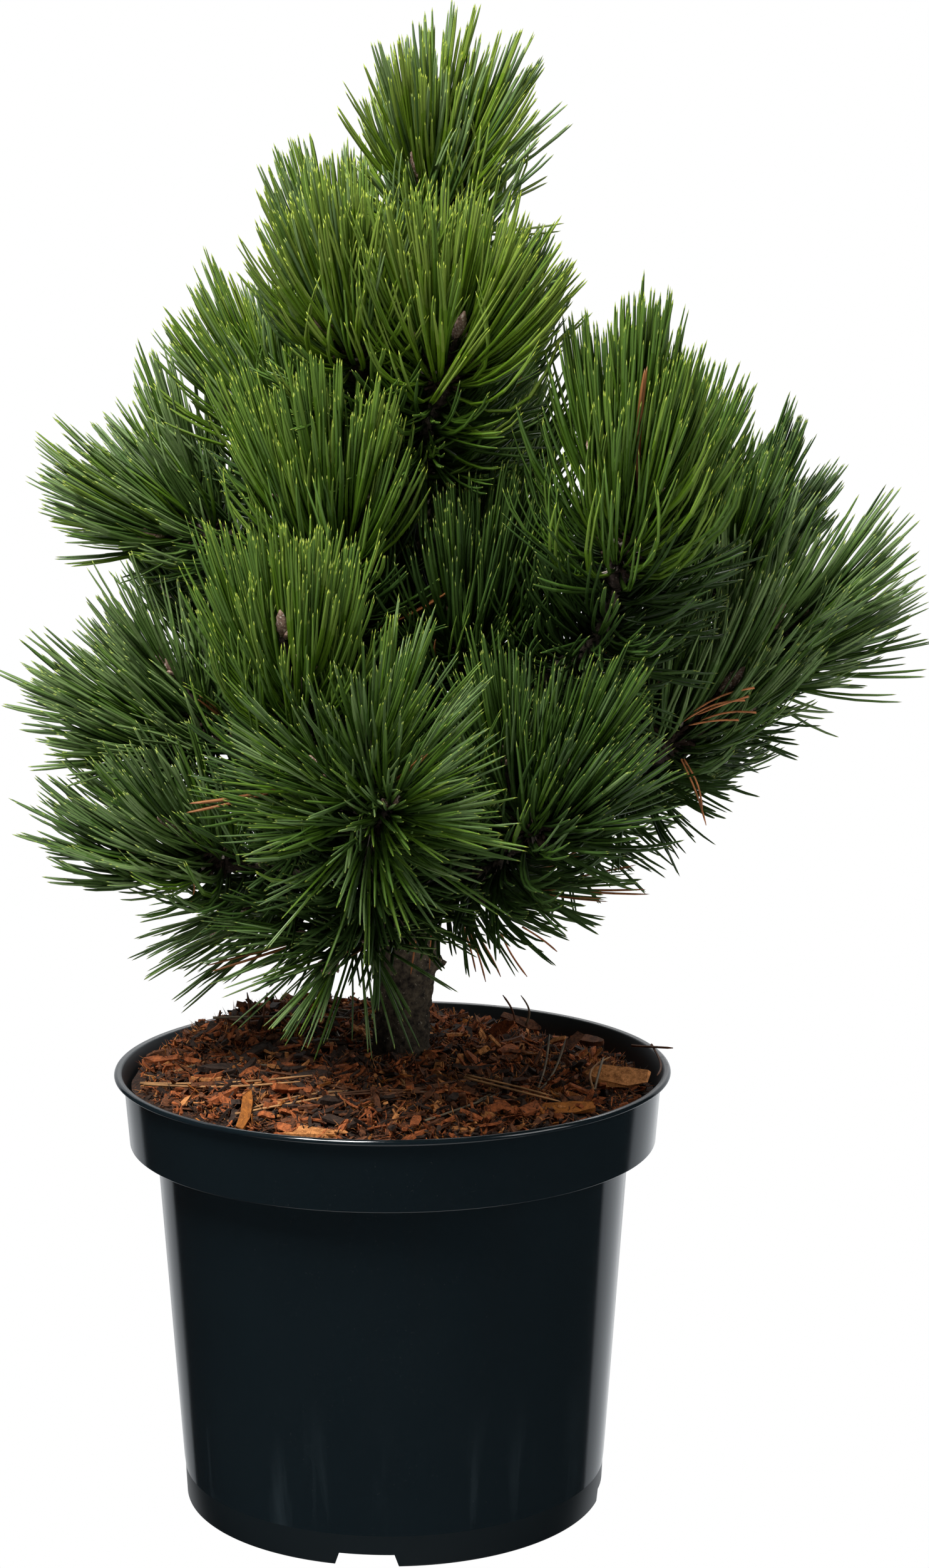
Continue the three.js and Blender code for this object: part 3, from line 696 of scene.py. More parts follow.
def scatterChips():
    rng = np.random.default_rng(chips["seed"])
    points, tones = [], []
    for kind in chips["kinds"]:
        n = kind["count"]
        length = rng.uniform(*kind["length"], n)
        width = np.minimum(rng.uniform(*kind["width"], n), length * chips["widest"])
        thick = rng.uniform(*kind["thick"], n)
        inner = chips["trunkRoom"] + length * chips["inside"]
        outer = chips["reach"] - length * chips["outside"]
        radius = np.sqrt(rng.uniform(inner**2, outer**2))
        turn = rng.uniform(0, math.tau, n)
        x, y = radius * np.cos(turn), radius * np.sin(turn)
        x = x + trunk["footX"] * (1 - radius / chips["reach"])
        heading = rng.uniform(0, math.tau, n)
        tilt = np.radians(kind["tilt"]) * rng.normal(0, chips["tiltSpread"], n)
        lean = np.radians(kind["tilt"]) * rng.normal(0, chips["leanSpread"], n)
        flat = np.stack([np.cos(heading), np.sin(heading), np.zeros(n)], 1)
        across = np.stack([-np.sin(heading), np.cos(heading), np.zeros(n)], 1)
        along = unit(flat * np.cos(tilt)[:, None] + upwards * np.sin(tilt)[:, None])
        top = unit(np.cross(along, across * np.cos(lean)[:, None] + upwards * np.sin(lean)[:, None]))
        pile = chips["pile"] * (1 - chips["edgeFall"] * (radius / chips["reach"]) ** 6)
        z = bedHeight(x, y) + rng.uniform(0, 1, n) ** chips["pileCurve"] * pile + thick * chips["lift"]
        points.append(flakePoints(np.stack([x, y, z], 1), along, top, length, width, thick, rng))
        tones.append(pickTones(n, rng, kind["tones"]))
    points.append(placeNamedChips(rng))
    tones.append([row[-1] for row in chips["named"]])
    return np.concatenate(points), np.concatenate(tones)


def pickTones(count, rng, most=5):
    shares = np.cumsum([tone[1] for tone in chips["tones"][:most]])
    return np.searchsorted(shares / shares[-1], rng.uniform(0, 1, count))


# The largest chips, each laid with its face leaning towards the front
def placeNamedChips(rng):
    foot, head, ends = (np.array([row[k] for row in chips["named"]], float) for k in (0, 1, 5))
    width, thick, lean = (np.array([row[k] for row in chips["named"]], float) for k in (2, 3, 4))
    along = unit(head - foot)
    side = unit(np.cross(upwards, along))
    side = side * np.where(side[:, 1:2] < 0, 1, -1)
    level = unit(np.cross(along, side))
    level = level * np.sign(level[:, 2:3])
    lean = np.radians(lean)[:, None]
    top = level * np.cos(lean) + side * np.sin(lean)
    length = np.linalg.norm(head - foot, axis=1)
    return flakePoints((foot + head) / 2, along, top, length, width, thick, rng, ends)


def scatterFibres(rng):
    tufts, each = fibres["tufts"], fibres["inTuft"]
    edge = chips["reach"] - fibres["edgeRoom"]
    radius = np.sqrt(rng.uniform(chips["trunkRoom"] ** 2, edge**2, tufts))
    turn = rng.uniform(0, math.tau, tufts)
    spot = np.stack([radius * np.cos(turn), radius * np.sin(turn)], 1)
    spot = np.repeat(spot, each, 0) + rng.normal(0, fibres["spread"] / 2, (tufts * each, 2))
    far = np.hypot(spot[:, 0], spot[:, 1])
    spot *= np.minimum(1, edge / far)[:, None]
    share = np.hypot(spot[:, 0], spot[:, 1]) / chips["reach"]
    pile = chips["pile"] * (fibres["pile"] - chips["edgeFall"] * share**6)
    above = rng.uniform(0, 1, len(spot)) * (pile + fibres["deep"]) - fibres["deep"]
    height = bedHeight(spot[:, 0], spot[:, 1]) + above
    root = np.concatenate([spot, height[:, None]], 1)
    axis = rng.normal(0, 1, (len(spot), 3))
    axis[:, 2] = np.abs(axis[:, 2]) * fibres["rise"]
    axis = unit(axis)
    length = rng.uniform(*fibres["length"], len(spot))[:, None]
    aside = unit(np.cross(axis, rng.normal(0, 1, axis.shape)))
    over = np.cross(axis, aside)
    thick = rng.uniform(*fibres["radius"], len(spot))[:, None]
    rings = []
    for share, size in fibres["stations"]:
        middle = root + axis * length * share + aside * length * fibres["bend"] * share * share
        rings += ringCorners(middle, aside, over, thick * size, 3)
    rings.append(root + axis * length + aside * length * fibres["bend"])
    return np.stack(rings, 1), np.repeat(pickTones(tufts, rng), each)


def makeMulch():
    flakeTriangles = ringTriangles(len(chips["stations"]), 4, False)
    fibreTriangles = ringTriangles(len(fibres["stations"]), 3, True)
    chipPoints, chipTones = scatterChips()
    fibrePoints, fibreTones = scatterFibres(np.random.default_rng(fibres["seed"]))
    for i, (tone, often, dark, light) in enumerate(chips["tones"]):
        fleck = tuple(min(1, chips["fleckLight"] * c) for c in light)
        look = {"dark": dark, "light": light, "fleck": fleck, **chips["look"]}
        material = grainMaterial(f"bark_{tone}", look)
        flakes = meshFromArrays(f"chips_{tone}", chipPoints[chipTones == i], flakeTriangles)
        flakes.set_sharp_from_angle(angle=math.radians(chips["sharp"]))
        addPiece(flakes, f"chips_{tone}", [material])
        strands = meshFromArrays(f"fibres_{tone}", fibrePoints[fibreTones == i], fibreTriangles)
        addPiece(strands, f"fibres_{tone}", [material])
    print("mulch made:", len(chipPoints), "chips and", len(fibrePoints), "fibres")


makeMulch()


# Fallen needles: from one end to the other, in millimetres, with how far the middle sags and the tone
litter = {
    "seed": 17, "steps": 9, "radius": 0.6, "footWidth": 1.25, "tipWidth": 0.4, "bow": 2.2,
    "scattered": 46, "radii": (30, 100), "edgeRoom": 3, "length": (45, 78), "sags": (-1, 2),
    "fork": 1.7, "forks": (0.5, 3), "ground": 4.5, "scatteredTones": ("straw", "brown", "brown", "grey"),
    "tones": {
        "straw": (0.42, 0.215, 0.085), "brown": (0.17, 0.070, 0.032), "grey": (0.20, 0.155, 0.10),
        "rust": (0.56, 0.205, 0.070),
    },
    "thinner": {"rust": 0.78},
    "look": {
        "scale": 90, "fleckScale": 500, "fleckFrom": 0.68, "roughness": 0.7,
        "bump": 0.3, "bumpDepth": 0.0003,
    },
    "named": [
        ((-123, -43, 223.5), (-37, -75, 236), -2, "straw"),
        ((-121, -45, 223.5), (-42.5, -81, 234.5), -2, "straw"),
        ((72.6, -61, 225), (86.7, -15, 239), -4, "grey"), ((71.3, -61, 225), (78.7, -10, 240), -3, "grey"),
        ((35.8, -73, 234.5), (81.8, -88, 226.5), 0, "straw"), ((37, -71, 235), (77.4, -83, 228), 0, "straw"),
        ((99.2, -63, 226), (105.1, -25, 232), 1, "grey"), ((98.6, -63, 226), (109, -20, 231), 1, "straw"),
        ((132.2, 28, 225), (131.4, -30, 224), -2, "brown"), ((122, 28, 224.5), (142.5, 17, 226), 0, "brown"),
        ((62.7, 80, 224), (56.3, 75, 240), 0, "brown"), ((68.6, 76, 224), (65.8, 70, 241), 0, "grey"),
        ((-77.3, 35, 226), (-75.4, 30, 252), 0, "brown"), ((-65.3, 30, 226), (-65.1, 30, 252), 0, "brown"),
        ((-94, 41, 236), (-23, 41, 236), 1, "grey"), ((-18, 52, 231), (-1, -4, 228), 0, "brown"),
        ((-24, 40, 229), (-3, -8, 228), 0, "brown"), ((-23, 8, 229), (-9, 8, 230), 0, "straw"),
        ((64, -20, 228), (76, -50, 226), 0, "brown"),
    ],
    # brown needles caught in the crown: two ends and how far the middle is arched
    "caught": [
        ((173.6, -62, 421.8), (144.9, -62, 410.4), 2), ((171.2, -60, 417.4), (146.3, -60, 408.4), 1),
        ((169.2, -62, 415.8), (140.2, -62, 405.6), 3), ((175.1, -58, 409.3), (148.9, -58, 405.7), 2),
        ((166.6, -60, 406), (142.8, -60, 403.5), 1), ((140, -52, 386), (152.4, -52, 353.7), 1),
        ((141.2, -52, 386), (150.5, -52, 359.2), 2), ((13.4, -34, 300.6), (9.7, -34, 276.2), 0),
        ((19.8, -26, 294.5), (18.8, -26, 276.9), 0), ((-95.1, -70, 336), (-94.8, -70, 318.7), 0),
        ((34.8, 4, 295.1), (41.8, 4, 268.7), 0), ((36.1, 6, 294.7), (46.8, 6, 263.1), 1),
        ((39.2, 0, 293.4), (54.3, 0, 267.1), 1), ((54.3, 0, 289.6), (67.6, 0, 267.1), -1),
        ((64.8, -10, 294.9), (82.3, -10, 282.2), 1), ((48, -8, 293.8), (58, -8, 278.5), 0),
    ],
}


# Pairs of needles scattered over the bed, each pair joined at one end
def scatterLitter(rng):
    rows = []
    inner, outer = litter["radii"]
    for k in range(litter["scattered"]):
        radius = math.sqrt(rng.uniform(inner**2, outer**2))
        turn, heading = rng.uniform(0, math.tau, 2)
        middle = np.array([radius * math.cos(turn), radius * math.sin(turn)])
        half = np.array([math.cos(heading), math.sin(heading)]) * rng.uniform(*litter["length"]) / 2
        ends = [middle - half, middle + half]
        if max(np.hypot(*end) for end in ends) > chips["reach"] - litter["edgeRoom"]:
            continue
        foot, tip = (np.array([*end, float(bedHeight(*end)) + litter["ground"]]) for end in ends)
        tone = litter["scatteredTones"][k % 4]
        rows.append((foot, tip, rng.uniform(*litter["sags"]), tone))
        aside = np.array([-half[1], half[0], 0]) / np.hypot(*half)
        aside = aside * litter["fork"] * rng.uniform(*litter["forks"])
        rows.append((foot, tip + aside, rng.uniform(*litter["sags"]), tone))
    return rows


# Fallen needles of one tone as tubes that arch along their length and taper to the tip
def litterPoints(chosen, tone, rng):
    start, end = (np.array([row[k] for row in chosen]) for k in (0, 1))
    sag = np.array([row[2] for row in chosen])
    along = unit(end - start)
    side = unit(np.cross(along, np.array([0.02, 0.05, 1.0])))
    over = np.cross(side, along)
    bow = rng.normal(0, litter["bow"], len(chosen))
    widths = np.array([litter["footWidth"]] + [1.0] * (litter["steps"] - 2) + [litter["tipWidth"]])
    sizes = litter["radius"] * widths * litter["thinner"].get(tone, 1)
    rings = []
    for share, size in zip(np.linspace(0, 1, litter["steps"]), sizes):
        arch = math.sin(math.pi * share)
        middle = start + (end - start) * share
        middle = middle + over * (sag * arch)[:, None] + side * (bow * arch)[:, None]
        rings += ringCorners(middle, side, over, size, 4)
    return np.stack(rings, 1)


def layNeedles():
    rng = np.random.default_rng(litter["seed"])
    named = litter["named"] + [(*row, "rust") for row in litter["caught"]]
    rows = [(np.array(a, float), np.array(b, float), sag, tone) for a, b, sag, tone in named]
    rows += scatterLitter(rng)
    for tone, colour in litter["tones"].items():
        points = litterPoints([row for row in rows if row[3] == tone], tone, rng)
        mesh = meshFromArrays(f"litter_{tone}", points, ringTriangles(litter["steps"], 4, False))
        dark, fleck = (tuple(share * c for c in colour) for share in (0.45, 0.3))
        look = {"dark": dark, "light": colour, "fleck": fleck, **litter["look"]}
        addPiece(mesh, f"litter_{tone}", [grainMaterial(f"fallen_{tone}", look)])
    print("litter laid:", len(rows), "fallen needles")


layNeedles()


# Bark on trunk and boughs: tubes with plates, cracks and fine scales standing in relief

bark = {
    "flatten": 0.62, "steep": 3.2, "scaleSize": 0.35, "scales": 0.45, "sunk": 0.5, "sharp": 70,
    "trunk": {"sides": 64, "plate": 4.6, "depth": 1.25, "fineTo": 340, "fineStep": 1.5, "step": 2.6},
    "bough": {"sides": 18, "plate": 3.4, "depth": 0.8, "step": 3.2, "fewestRings": 14},
}
# The bark carries painted shade, darker towards the trunk's foot under the crown
barkLook = {
    "dark": (0.014, 0.011, 0.009), "light": (0.142, 0.110, 0.072), "fleck": (0.42, 0.37, 0.28),
    "scale": 300, "fleckScale": 800, "fleckFrom": 0.69, "roughness": 0.92,
    "bump": 1.0, "bumpDepth": 0.0016, "paintedFootShade": (0.228, 0.285, 0.4),
}
barkMaterial = grainMaterial("pineBark", barkLook)
# Painted shade: in the crown's shade the boughs' bark is painted darker
boughLook = {**barkLook, "light": (0.078, 0.060, 0.040), "fleck": (0.21, 0.18, 0.14)}
boughMaterial = grainMaterial("boughBark", boughLook)


def growTube(centres, axes, radii, sides):
    bm = bmesh.new()
    place = Matrix.Translation(centres[0]) @ up.rotation_difference(axes[0]).to_matrix().to_4x4()
    bmesh.ops.create_circle(bm, segments=sides, radius=radii[0], matrix=place, cap_ends=False)
    ring = bm.edges[:]
    for k in range(1, len(centres)):
        made = bmesh.ops.extrude_edge_only(bm, edges=ring)["geom"]
        ring = [item for item in made if isinstance(item, bmesh.types.BMEdge)]
        verts = [item for item in made if isinstance(item, bmesh.types.BMVert)]
        turn = axes[k - 1].rotation_difference(axes[k]).to_matrix().to_4x4()
        size = Matrix.Scale(radii[k] / radii[k - 1], 4)
        move = Matrix.Translation(centres[k]) @ turn @ size @ Matrix.Translation(-centres[k - 1])
        bmesh.ops.transform(bm, matrix=move, verts=verts)
    bmesh.ops.holes_fill(bm, edges=bm.edges, sides=sides)
    bmesh.ops.recalc_face_normals(bm, faces=bm.faces)
    return bm


# Height of the bark over its tube: plates of one size, with a crack between neighbours
def barkRelief(point, plate, depth):
    squeezed = Vector((point.x, point.y, point.z * bark["flatten"])) / plate
    near = noise.voronoi(squeezed)[0]
    raised = min(1, bark["steep"] * (near[1] - near[0]))
    fine = noise.fractal(point / (plate * bark["scaleSize"]), 0.9, 2.1, 3)
    return depth * (raised + bark["scales"] * fine - bark["sunk"])


# One limb's bark: a tube, shaped further where it is asked for, roughened and added as a piece
def addBark(centres, axes, radii, kind, name, material, node, shapeTube=None):
    bm = growTube(centres, axes, radii, kind["sides"])
    if shapeTube:
        shapeTube(bm)
    bm.normal_update()
    moved = [vert.co + vert.normal * barkRelief(vert.co, kind["plate"], kind["depth"]) for vert in bm.verts]
    for vert, place in zip(bm.verts, moved):
        vert.co = place
    addPiece(meshFromBmesh(bm, name, bark["sharp"]), name, [material], [node])


# The dead stub: the trunk's right side pulled out to a blunt, ragged end
def pullStub(bm):
    stub = trunk["stub"]
    middle = trunkCentre(stub["height"])
    for vert in bm.verts:
        away = vert.co - middle
        across = math.hypot(away.y, away.z)
        if away.x > 0 and across < stub["edge"]:
            pull = 1 - max(0, across - stub["flat"]) / (stub["edge"] - stub["flat"])
            ragged = stub["ragged"] * noise.noise(vert.co / stub["raggedSize"])
            vert.co.x += (stub["reach"] + ragged) * pull * pull * (3 - 2 * pull)


def makeTrunk():
    kind = bark["trunk"]
    heights, ringRadii = np.array(trunk["rings"]).T
    low, high, fineTo = heights[0], heights[-1], kind["fineTo"]
    stations = [np.arange(low, fineTo, kind["fineStep"]), np.arange(fineTo, high, kind["step"]), [high]]
    stations = np.concatenate(stations)
    radii = np.interp(stations, heights, ringRadii)
    centres = [trunkCentre(height) for height in stations]
    addBark(centres, [up] * len(stations), radii, kind, "trunk_bark", barkMaterial, "trunk", pullStub)


def makeBoughs():
    kind = bark["bough"]
    for name, limb in limbs.items():
        if limb["curve"] is None:
            continue
        span = (limb["tip"] - limb["curve"][0]).length
        rings = max(kind["fewestRings"], int(span / kind["step"]))
        shares = [k / rings for k in range(rings + 1)]
        centres, axes, radii = alongBough(limb, shares)
        addBark(centres, axes, radii, kind, f"bark_{name}", boughMaterial, f"bough_{name}")


makeTrunk()
makeBoughs()
print("bark made on the trunk and", len(limbs) - 1, "boughs")


# Shoots: every stem and shoot of the tufts in one mesh, ringed with the scars of old needles, and a knot
# round each fork in another

twigs = {
    "seed": 21, "sides": 8, "foot": 2.6, "tip": 1.9, "rings": 22, "scar": 0.45, "rough": 0.35,
    "overrun": 0.3, "knot": (2.4, 4.2, 5.2, 4.5, 5.6, 4.8, 5.2, 4.0, 2.6), "knotSides": 14,
    "knotReach": 6, "knotRough": 0.9,
    "look": {
        "dark": (0.010, 0.006, 0.005), "light": (0.046, 0.029, 0.021), "fleck": (0.15, 0.12, 0.10),
        "scale": 500, "fleckScale": 1100, "fleckFrom": 0.67, "roughness": 0.9,
        "bump": 0.8, "bumpDepth": 0.0008,
    },
}


# Tubes with straight axes from arrays: a start and an end each, with a list of radii shared by all
def tubePoints(starts, ends, radii, sides, rough, rng):
    axes = unit(ends - starts)
    spare = np.where(np.abs(axes[:, 2:3]) < 0.9, upwards[None], np.array([[1.0, 0, 0]]))
    across = unit(np.cross(axes, spare))
    over = np.cross(axes, across)
    stations = np.linspace(0, 1, len(radii))
    turns = math.tau * np.arange(sides) / sides
    out = across[:, None] * np.cos(turns)[None, :, None] + over[:, None] * np.sin(turns)[None, :, None]
    size = np.asarray(radii)[None, :, None] + rng.uniform(-rough, rough, (len(starts), len(radii), sides))
    middle = starts[:, None] + (ends - starts)[:, None] * stations[None, :, None]
    return (middle[:, :, None] + out[:, None] * size[..., None]).reshape(len(starts), -1, 3)


def makeTwigs():
    rng = np.random.default_rng(twigs["seed"])
    material = grainMaterial("shootBark", twigs["look"])
    lines = []
    for plan in plans:
        past = (plan["fork"] - plan["base"]) * twigs["overrun"]
        lines.append((plan["base"], plan["fork"] + past))
    lines += [(shoot["start"], shoot["end"]) for plan in plans for shoot in plan["shoots"]]
    starts, ends = (rowsOf(line[k] for line in lines) for k in (0, 1))
    scars = np.where(np.arange(twigs["rings"]) % 2 == 0, twigs["scar"], 0)
    radii = np.linspace(twigs["foot"], twigs["tip"], twigs["rings"]) + scars
    points = tubePoints(starts, ends, radii, twigs["sides"], twigs["rough"], rng)
    mesh = meshFromArrays("shoots", points, ringTriangles(twigs["rings"], twigs["sides"], False))
    addPiece(mesh, "shoots", [material])
    bases, forks = (rowsOf(plan[key] for plan in plans) for key in ("base", "fork"))
    tops = forks + unit(forks - bases) * twigs["knotReach"]
    points = tubePoints(bases, tops, twigs["knot"], twigs["knotSides"], twigs["knotRough"], rng)
    mesh = meshFromArrays("knots", points, ringTriangles(len(twigs["knot"]), twigs["knotSides"], False))
    addPiece(mesh, "knots", [material])


makeTwigs()


# Buds: one at the end of each shoot and two small ones beside it, each a spindle of overlapping scales

buds = {
    "seed": 31, "length": 16, "radius": 2.9, "rings": 9, "sides": 9, "sideAngle": 42, "sideSize": 0.5,
    "sunk": 2, "bulge": (0.12, 0.98), "blunt": 0.75, "scales": (1.12, 0.90), "sizes": (0.85, 1.15),
    "look": {
        "dark": (0.120, 0.066, 0.048), "light": (0.44, 0.29, 0.215), "fleck": (0.64, 0.55, 0.47),
        "scale": 520, "fleckScale": 900, "fleckFrom": 0.60, "roughness": 0.7,
        "bump": 0.6, "bumpDepth": 0.0006,
    },
}


def makeBuds():
    rng = np.random.default_rng(buds["seed"])
    rings, sides = buds["rings"], buds["sides"]
    stations = np.linspace(0, 1, rings)
    shape = np.sin(np.pi * between(buds["bulge"], stations)) ** buds["blunt"]
    scales = np.where((np.arange(rings)[:, None] + np.arange(sides)[None]) % 2 == 0, *buds["scales"])
    starts, ends, sizes = [], [], []
    for plan in plans:
        for shoot in plan["shoots"]:
            for k in range(3):
                angle = buds["sideAngle"] if k else 0
                axis = tilted(shoot["axis"], angle, 180 * k + rng.uniform(0, 60)).normalized()
                size = (buds["sideSize"] if k else 1) * rng.uniform(*buds["sizes"])
                foot = shoot["end"] - shoot["axis"] * buds["sunk"]
                starts.append(foot)
                ends.append(foot + axis * buds["length"] * size)
                sizes.append(size)
    starts, ends, sizes = rowsOf(starts), rowsOf(ends), np.array(sizes)
    points = tubePoints(starts, ends, np.ones(rings), sides, 0, rng)
    points = points.reshape(len(starts), rings, sides, 3)
    middle = (starts[:, None] + (ends - starts)[:, None] * stations[None, :, None])[:, :, None]
    radius = buds["radius"] * (shape[:, None] * scales)[None] * sizes[:, None, None]
    points = (middle + (points - middle) * radius[..., None]).reshape(len(starts), -1, 3)
    mesh = meshFromArrays("buds", points, ringTriangles(rings, sides, False))
    addPiece(mesh, "buds", [grainMaterial("budScale", buds["look"])])


makeBuds()
print("shoots and buds made")


# Needles: pairs that leave each shoot in a spiral, from outwards at its foot to forwards at its tip

needles = {
    "seed": 41, "length": 80, "lengths": (0.76, 1.12), "shorter": 0.18, "width": (1.45, 1.88),
    "perMillimetre": 2.3, "angles": (104, 10), "angleCurve": 0.5, "angleJitter": 6, "turnJitter": 16,
    "leastAngle": 3, "lift": 0.8, "lean": (0, 0, 0), "bend": (0.7, 1.05), "bendLate": (0.25, 0.7),
    "hookedShare": 0.25, "hookBend": (0.8, 1.4), "hookLate": (0.7, 1.3), "bow": 0.022, "first": 0.02,
    "pairAngle": 2.2, "twinLengths": (0.96, 1.04), "twinBend": 0.05, "full": 1, "long": 1,
    "dead": 0.0007, "grey": (0, 0), "shootGreen": 0.3, "greenJitter": 0.65, "greyJitter": 0.5,
    "roughness": 0.42, "specular": 0.28, "mostInPiece": 4900,
    "stations": (0, 0.14, 0.32, 0.5, 0.68, 0.86, 0.968),
    "stationWidths": (0.72, 0.94, 1.0, 1.0, 0.95, 0.82, 0.46),
    # turn and reach of the three corners across a needle: a ridge and two edges
    "corners": ((0, 0.5), (140, 0.56), (220, 0.56)),
    "tests": (0.3, 0.55, 0.78, 1), "overlap": 28, "limbRoom": 0.9, "limbParts": 8, "bedRoom": 5.2,
    "rimRadius": 143, "rimInside": 130, "rimTop": 224,
}
# Where a tuft is thinner or fuller than the others, shorter or longer, greyer, or sweeps up less
# The two values of grey are the share of grey needles and how dark those are
tuftHabits = {
    "leader": {
        "full": 0.86, "long": 0.96, "lift": 0.1, "lean": (0.05, 0, 0), "bend": (0.3, 0.95),
        "angleCurve": 0.65, "grey": (0.45, 0),
    },
    "top_back_left": {"full": 0.85, "long": 0.9, "grey": (0.45, 0)},
    "top_front_left": {"full": 1.3, "angles": (116, 14), "long": 1.04, "lift": 0.6, "grey": (0.15, 0)},
    "top_front_right": {"full": 1.3, "angles": (116, 14), "long": 1.08, "lift": 0.6},
    "top_right": {"full": 1.0, "long": 0.95, "grey": (0.4, 0.4)},
    "high_left": {"full": 1.0, "long": 0.95, "lift": 0.6, "grey": (0.25, 0.2)},
    "outer_left": {
        "full": 0.92, "lift": 0.6, "long": 0.96, "angleCurve": 0.6, "angles": (110, 10),
        "bend": (0.35, 1.0), "grey": (0.75, 0),
    },
    "mid_left": {
        "full": 0.85, "lift": 0.68, "long": 0.95, "bend": (0.3, 1.0), "angles": (112, 12),
        "grey": (0.9, 0.05),
    },
    "low_left": {
        "full": 0.8, "lift": 0.84, "long": 0.93, "angles": (114, 12), "bend": (0.5, 1.05),
        "bendLate": (0.4, 0.9), "grey": (0.75, 0.3),
    },
    "low_front": {
        "lift": 0.1, "bend": (0.1, 0.55), "angles": (118, 12), "angleCurve": 0.9, "hookedShare": 0.12,
        "hookBend": (0.6, 1.0), "width": (1.3, 1.7), "grey": (0.45, 0.5),
    },
    "low_front_right": {"lift": 0.5, "bend": (0.4, 0.9), "angleCurve": 0.65, "grey": (0.15, 1.4)},
    "back_right": {"lift": 0.5, "long": 0.95, "grey": (0.35, 1.2)},
    "low_back_left": {
        "full": 0.28, "long": 0.92, "lift": -0.26, "width": (1.2, 1.6), "grey": (0.8, 0.8),
    },
    "lowest_front": {
        "full": 0.5, "long": 0.84, "lift": -0.3, "lean": (-0.25, 0, 0), "bend": (0.05, 0.4),
        "angleCurve": 0.7, "width": (1.1, 1.5), "grey": (0.7, 0.7),
    },
    "under_right": {"full": 0.6, "long": 0.9, "lift": 0.5, "grey": (0.8, 0.4)},
    "mid_right": {"full": 0.8, "lift": 1.0, "angles": (92, 10), "grey": (0.6, 0.5)},
    "lowest_right": {
        "full": 0.26, "long": 0.74, "lift": -0.05, "angleCurve": 0.8, "dead": 0.14, "width": (1.1, 1.5),
        "grey": (0.7, 0.9),
    },
    "low_back_right": {"full": 0.4, "long": 0.82, "lift": 0.4, "grey": (0.7, 0.5)},
    "low_back": {"full": 0.8, "lift": 0.2, "grey": (0.4, 1.0)},
    "far_right": {
        "full": 0.95, "long": 1.08, "lift": 0.5, "bend": (0.35, 1.05), "angleCurve": 0.6,
        "grey": (0.7, 0.4),
    },
    "front_right": {"full": 1.15, "long": 1.13, "lengths": (0.84, 1.05), "angles": (124, 12)},
    "inner_front_right": {"full": 1.3, "long": 1.08, "angles": (112, 12)},
    "outer_front_right": {"full": 1.2},
    "mid_back": {"full": 1.2},
}
# Older needles that still stand on the outer part of each bough and high on the trunk, in the tufts' shade
oldNeedles = {
    "perMillimetre": 2.3, "from": 0.30, "angles": (88, 62), "bend": (0.2, 0.9), "lift": 0.25,
    # green and trunkGreen set these needles darker than their tufts: painted shade in the recesses
    "turnJitter": 20, "rootShare": 0.8, "oldLate": (0.5, 1.2), "long": 0.8, "green": 2.6, "lowest": 316,
    "trunkFrom": 370, "trunkPerMillimetre": 1.7, "trunkGreen": 3.2, "dead": 0.008,
}
# The greens step from light to dark partly as the needles' own tones and partly as painted shade
greens = [
    # blade, upper blade (paler, painted sheen) and tip, from the lightest crown needles to the darkest low
    # ones
    {"blade": (0.112, 0.196, 0.011), "upper": (0.158, 0.232, 0.032), "tip": (0.270, 0.335, 0.030)},
    {"blade": (0.086, 0.164, 0.009), "upper": (0.124, 0.200, 0.026), "tip": (0.240, 0.300, 0.028)},
    {"blade": (0.062, 0.128, 0.008), "upper": (0.092, 0.164, 0.022), "tip": (0.205, 0.262, 0.026)},
    {"blade": (0.045, 0.098, 0.008), "upper": (0.068, 0.131, 0.020), "tip": (0.172, 0.225, 0.026)},
    {"blade": (0.032, 0.071, 0.008), "upper": (0.050, 0.101, 0.018), "tip": (0.142, 0.188, 0.024)},
    {"blade": (0.021, 0.047, 0.007), "upper": (0.033, 0.069, 0.014), "tip": (0.105, 0.140, 0.020)},
    # greyer needles of the outer and lower tufts, from light to dark
    {"blade": (0.089, 0.160, 0.036), "upper": (0.136, 0.208, 0.070), "tip": (0.250, 0.315, 0.065)},
    {"blade": (0.055, 0.109, 0.023), "upper": (0.089, 0.149, 0.047), "tip": (0.185, 0.245, 0.050)},
    {"blade": (0.037, 0.075, 0.017), "upper": (0.060, 0.105, 0.033), "tip": (0.130, 0.175, 0.036)},
]
# The place in the list above where the grey ones begin
greyFrom = 6
# Painted shade deep in the tufts: how dark the foot of a needle and the part above it are beside its blade
paintedNeedleShades = {"foot": 0.24, "low": 0.62}
dead = {"blade": (0.21, 0.075, 0.022), "upper": (0.26, 0.105, 0.035), "tip": (0.22, 0.10, 0.04)}

# Two buds show among the needles: lines from places along each of them to the viewer stay free of needles
sights = {
    "tufts": ("top_front_right", "front_left"), "along": (3, 11),
    "room": 3.2, "reach": 90, "tests": np.linspace(0.1, 1, 12),
}
# Gaps where sky shows from the front: place across and up, radius, and the share of crossing needles kept
gaps = {
    "from": 1250, "to": 1850,
    "rows": [
        (83.5, 557.5, 3.5, 0.4), (86.3, 542.3, 9, 0.3), (87.2, 528, 8, 0.3), (86.5, 517, 3.5, 0.4),
        (174.4, 438, 6, 0.3), (185, 443, 7, 0.25), (197.4, 448.8, 6, 0.3), (-135.5, 475, 7, 0.4),
        (-126.4, 461, 8.5, 0.3), (-115.8, 444, 8.5, 0.3), (-103.7, 430, 7, 0.4), (119.6, 353.3, 5, 0.7),
        (133, 362, 6, 0.6), (146, 371, 5, 0.6), (-21, 267, 6, 0.35), (-16.5, 254, 5, 0.4),
    ],
}


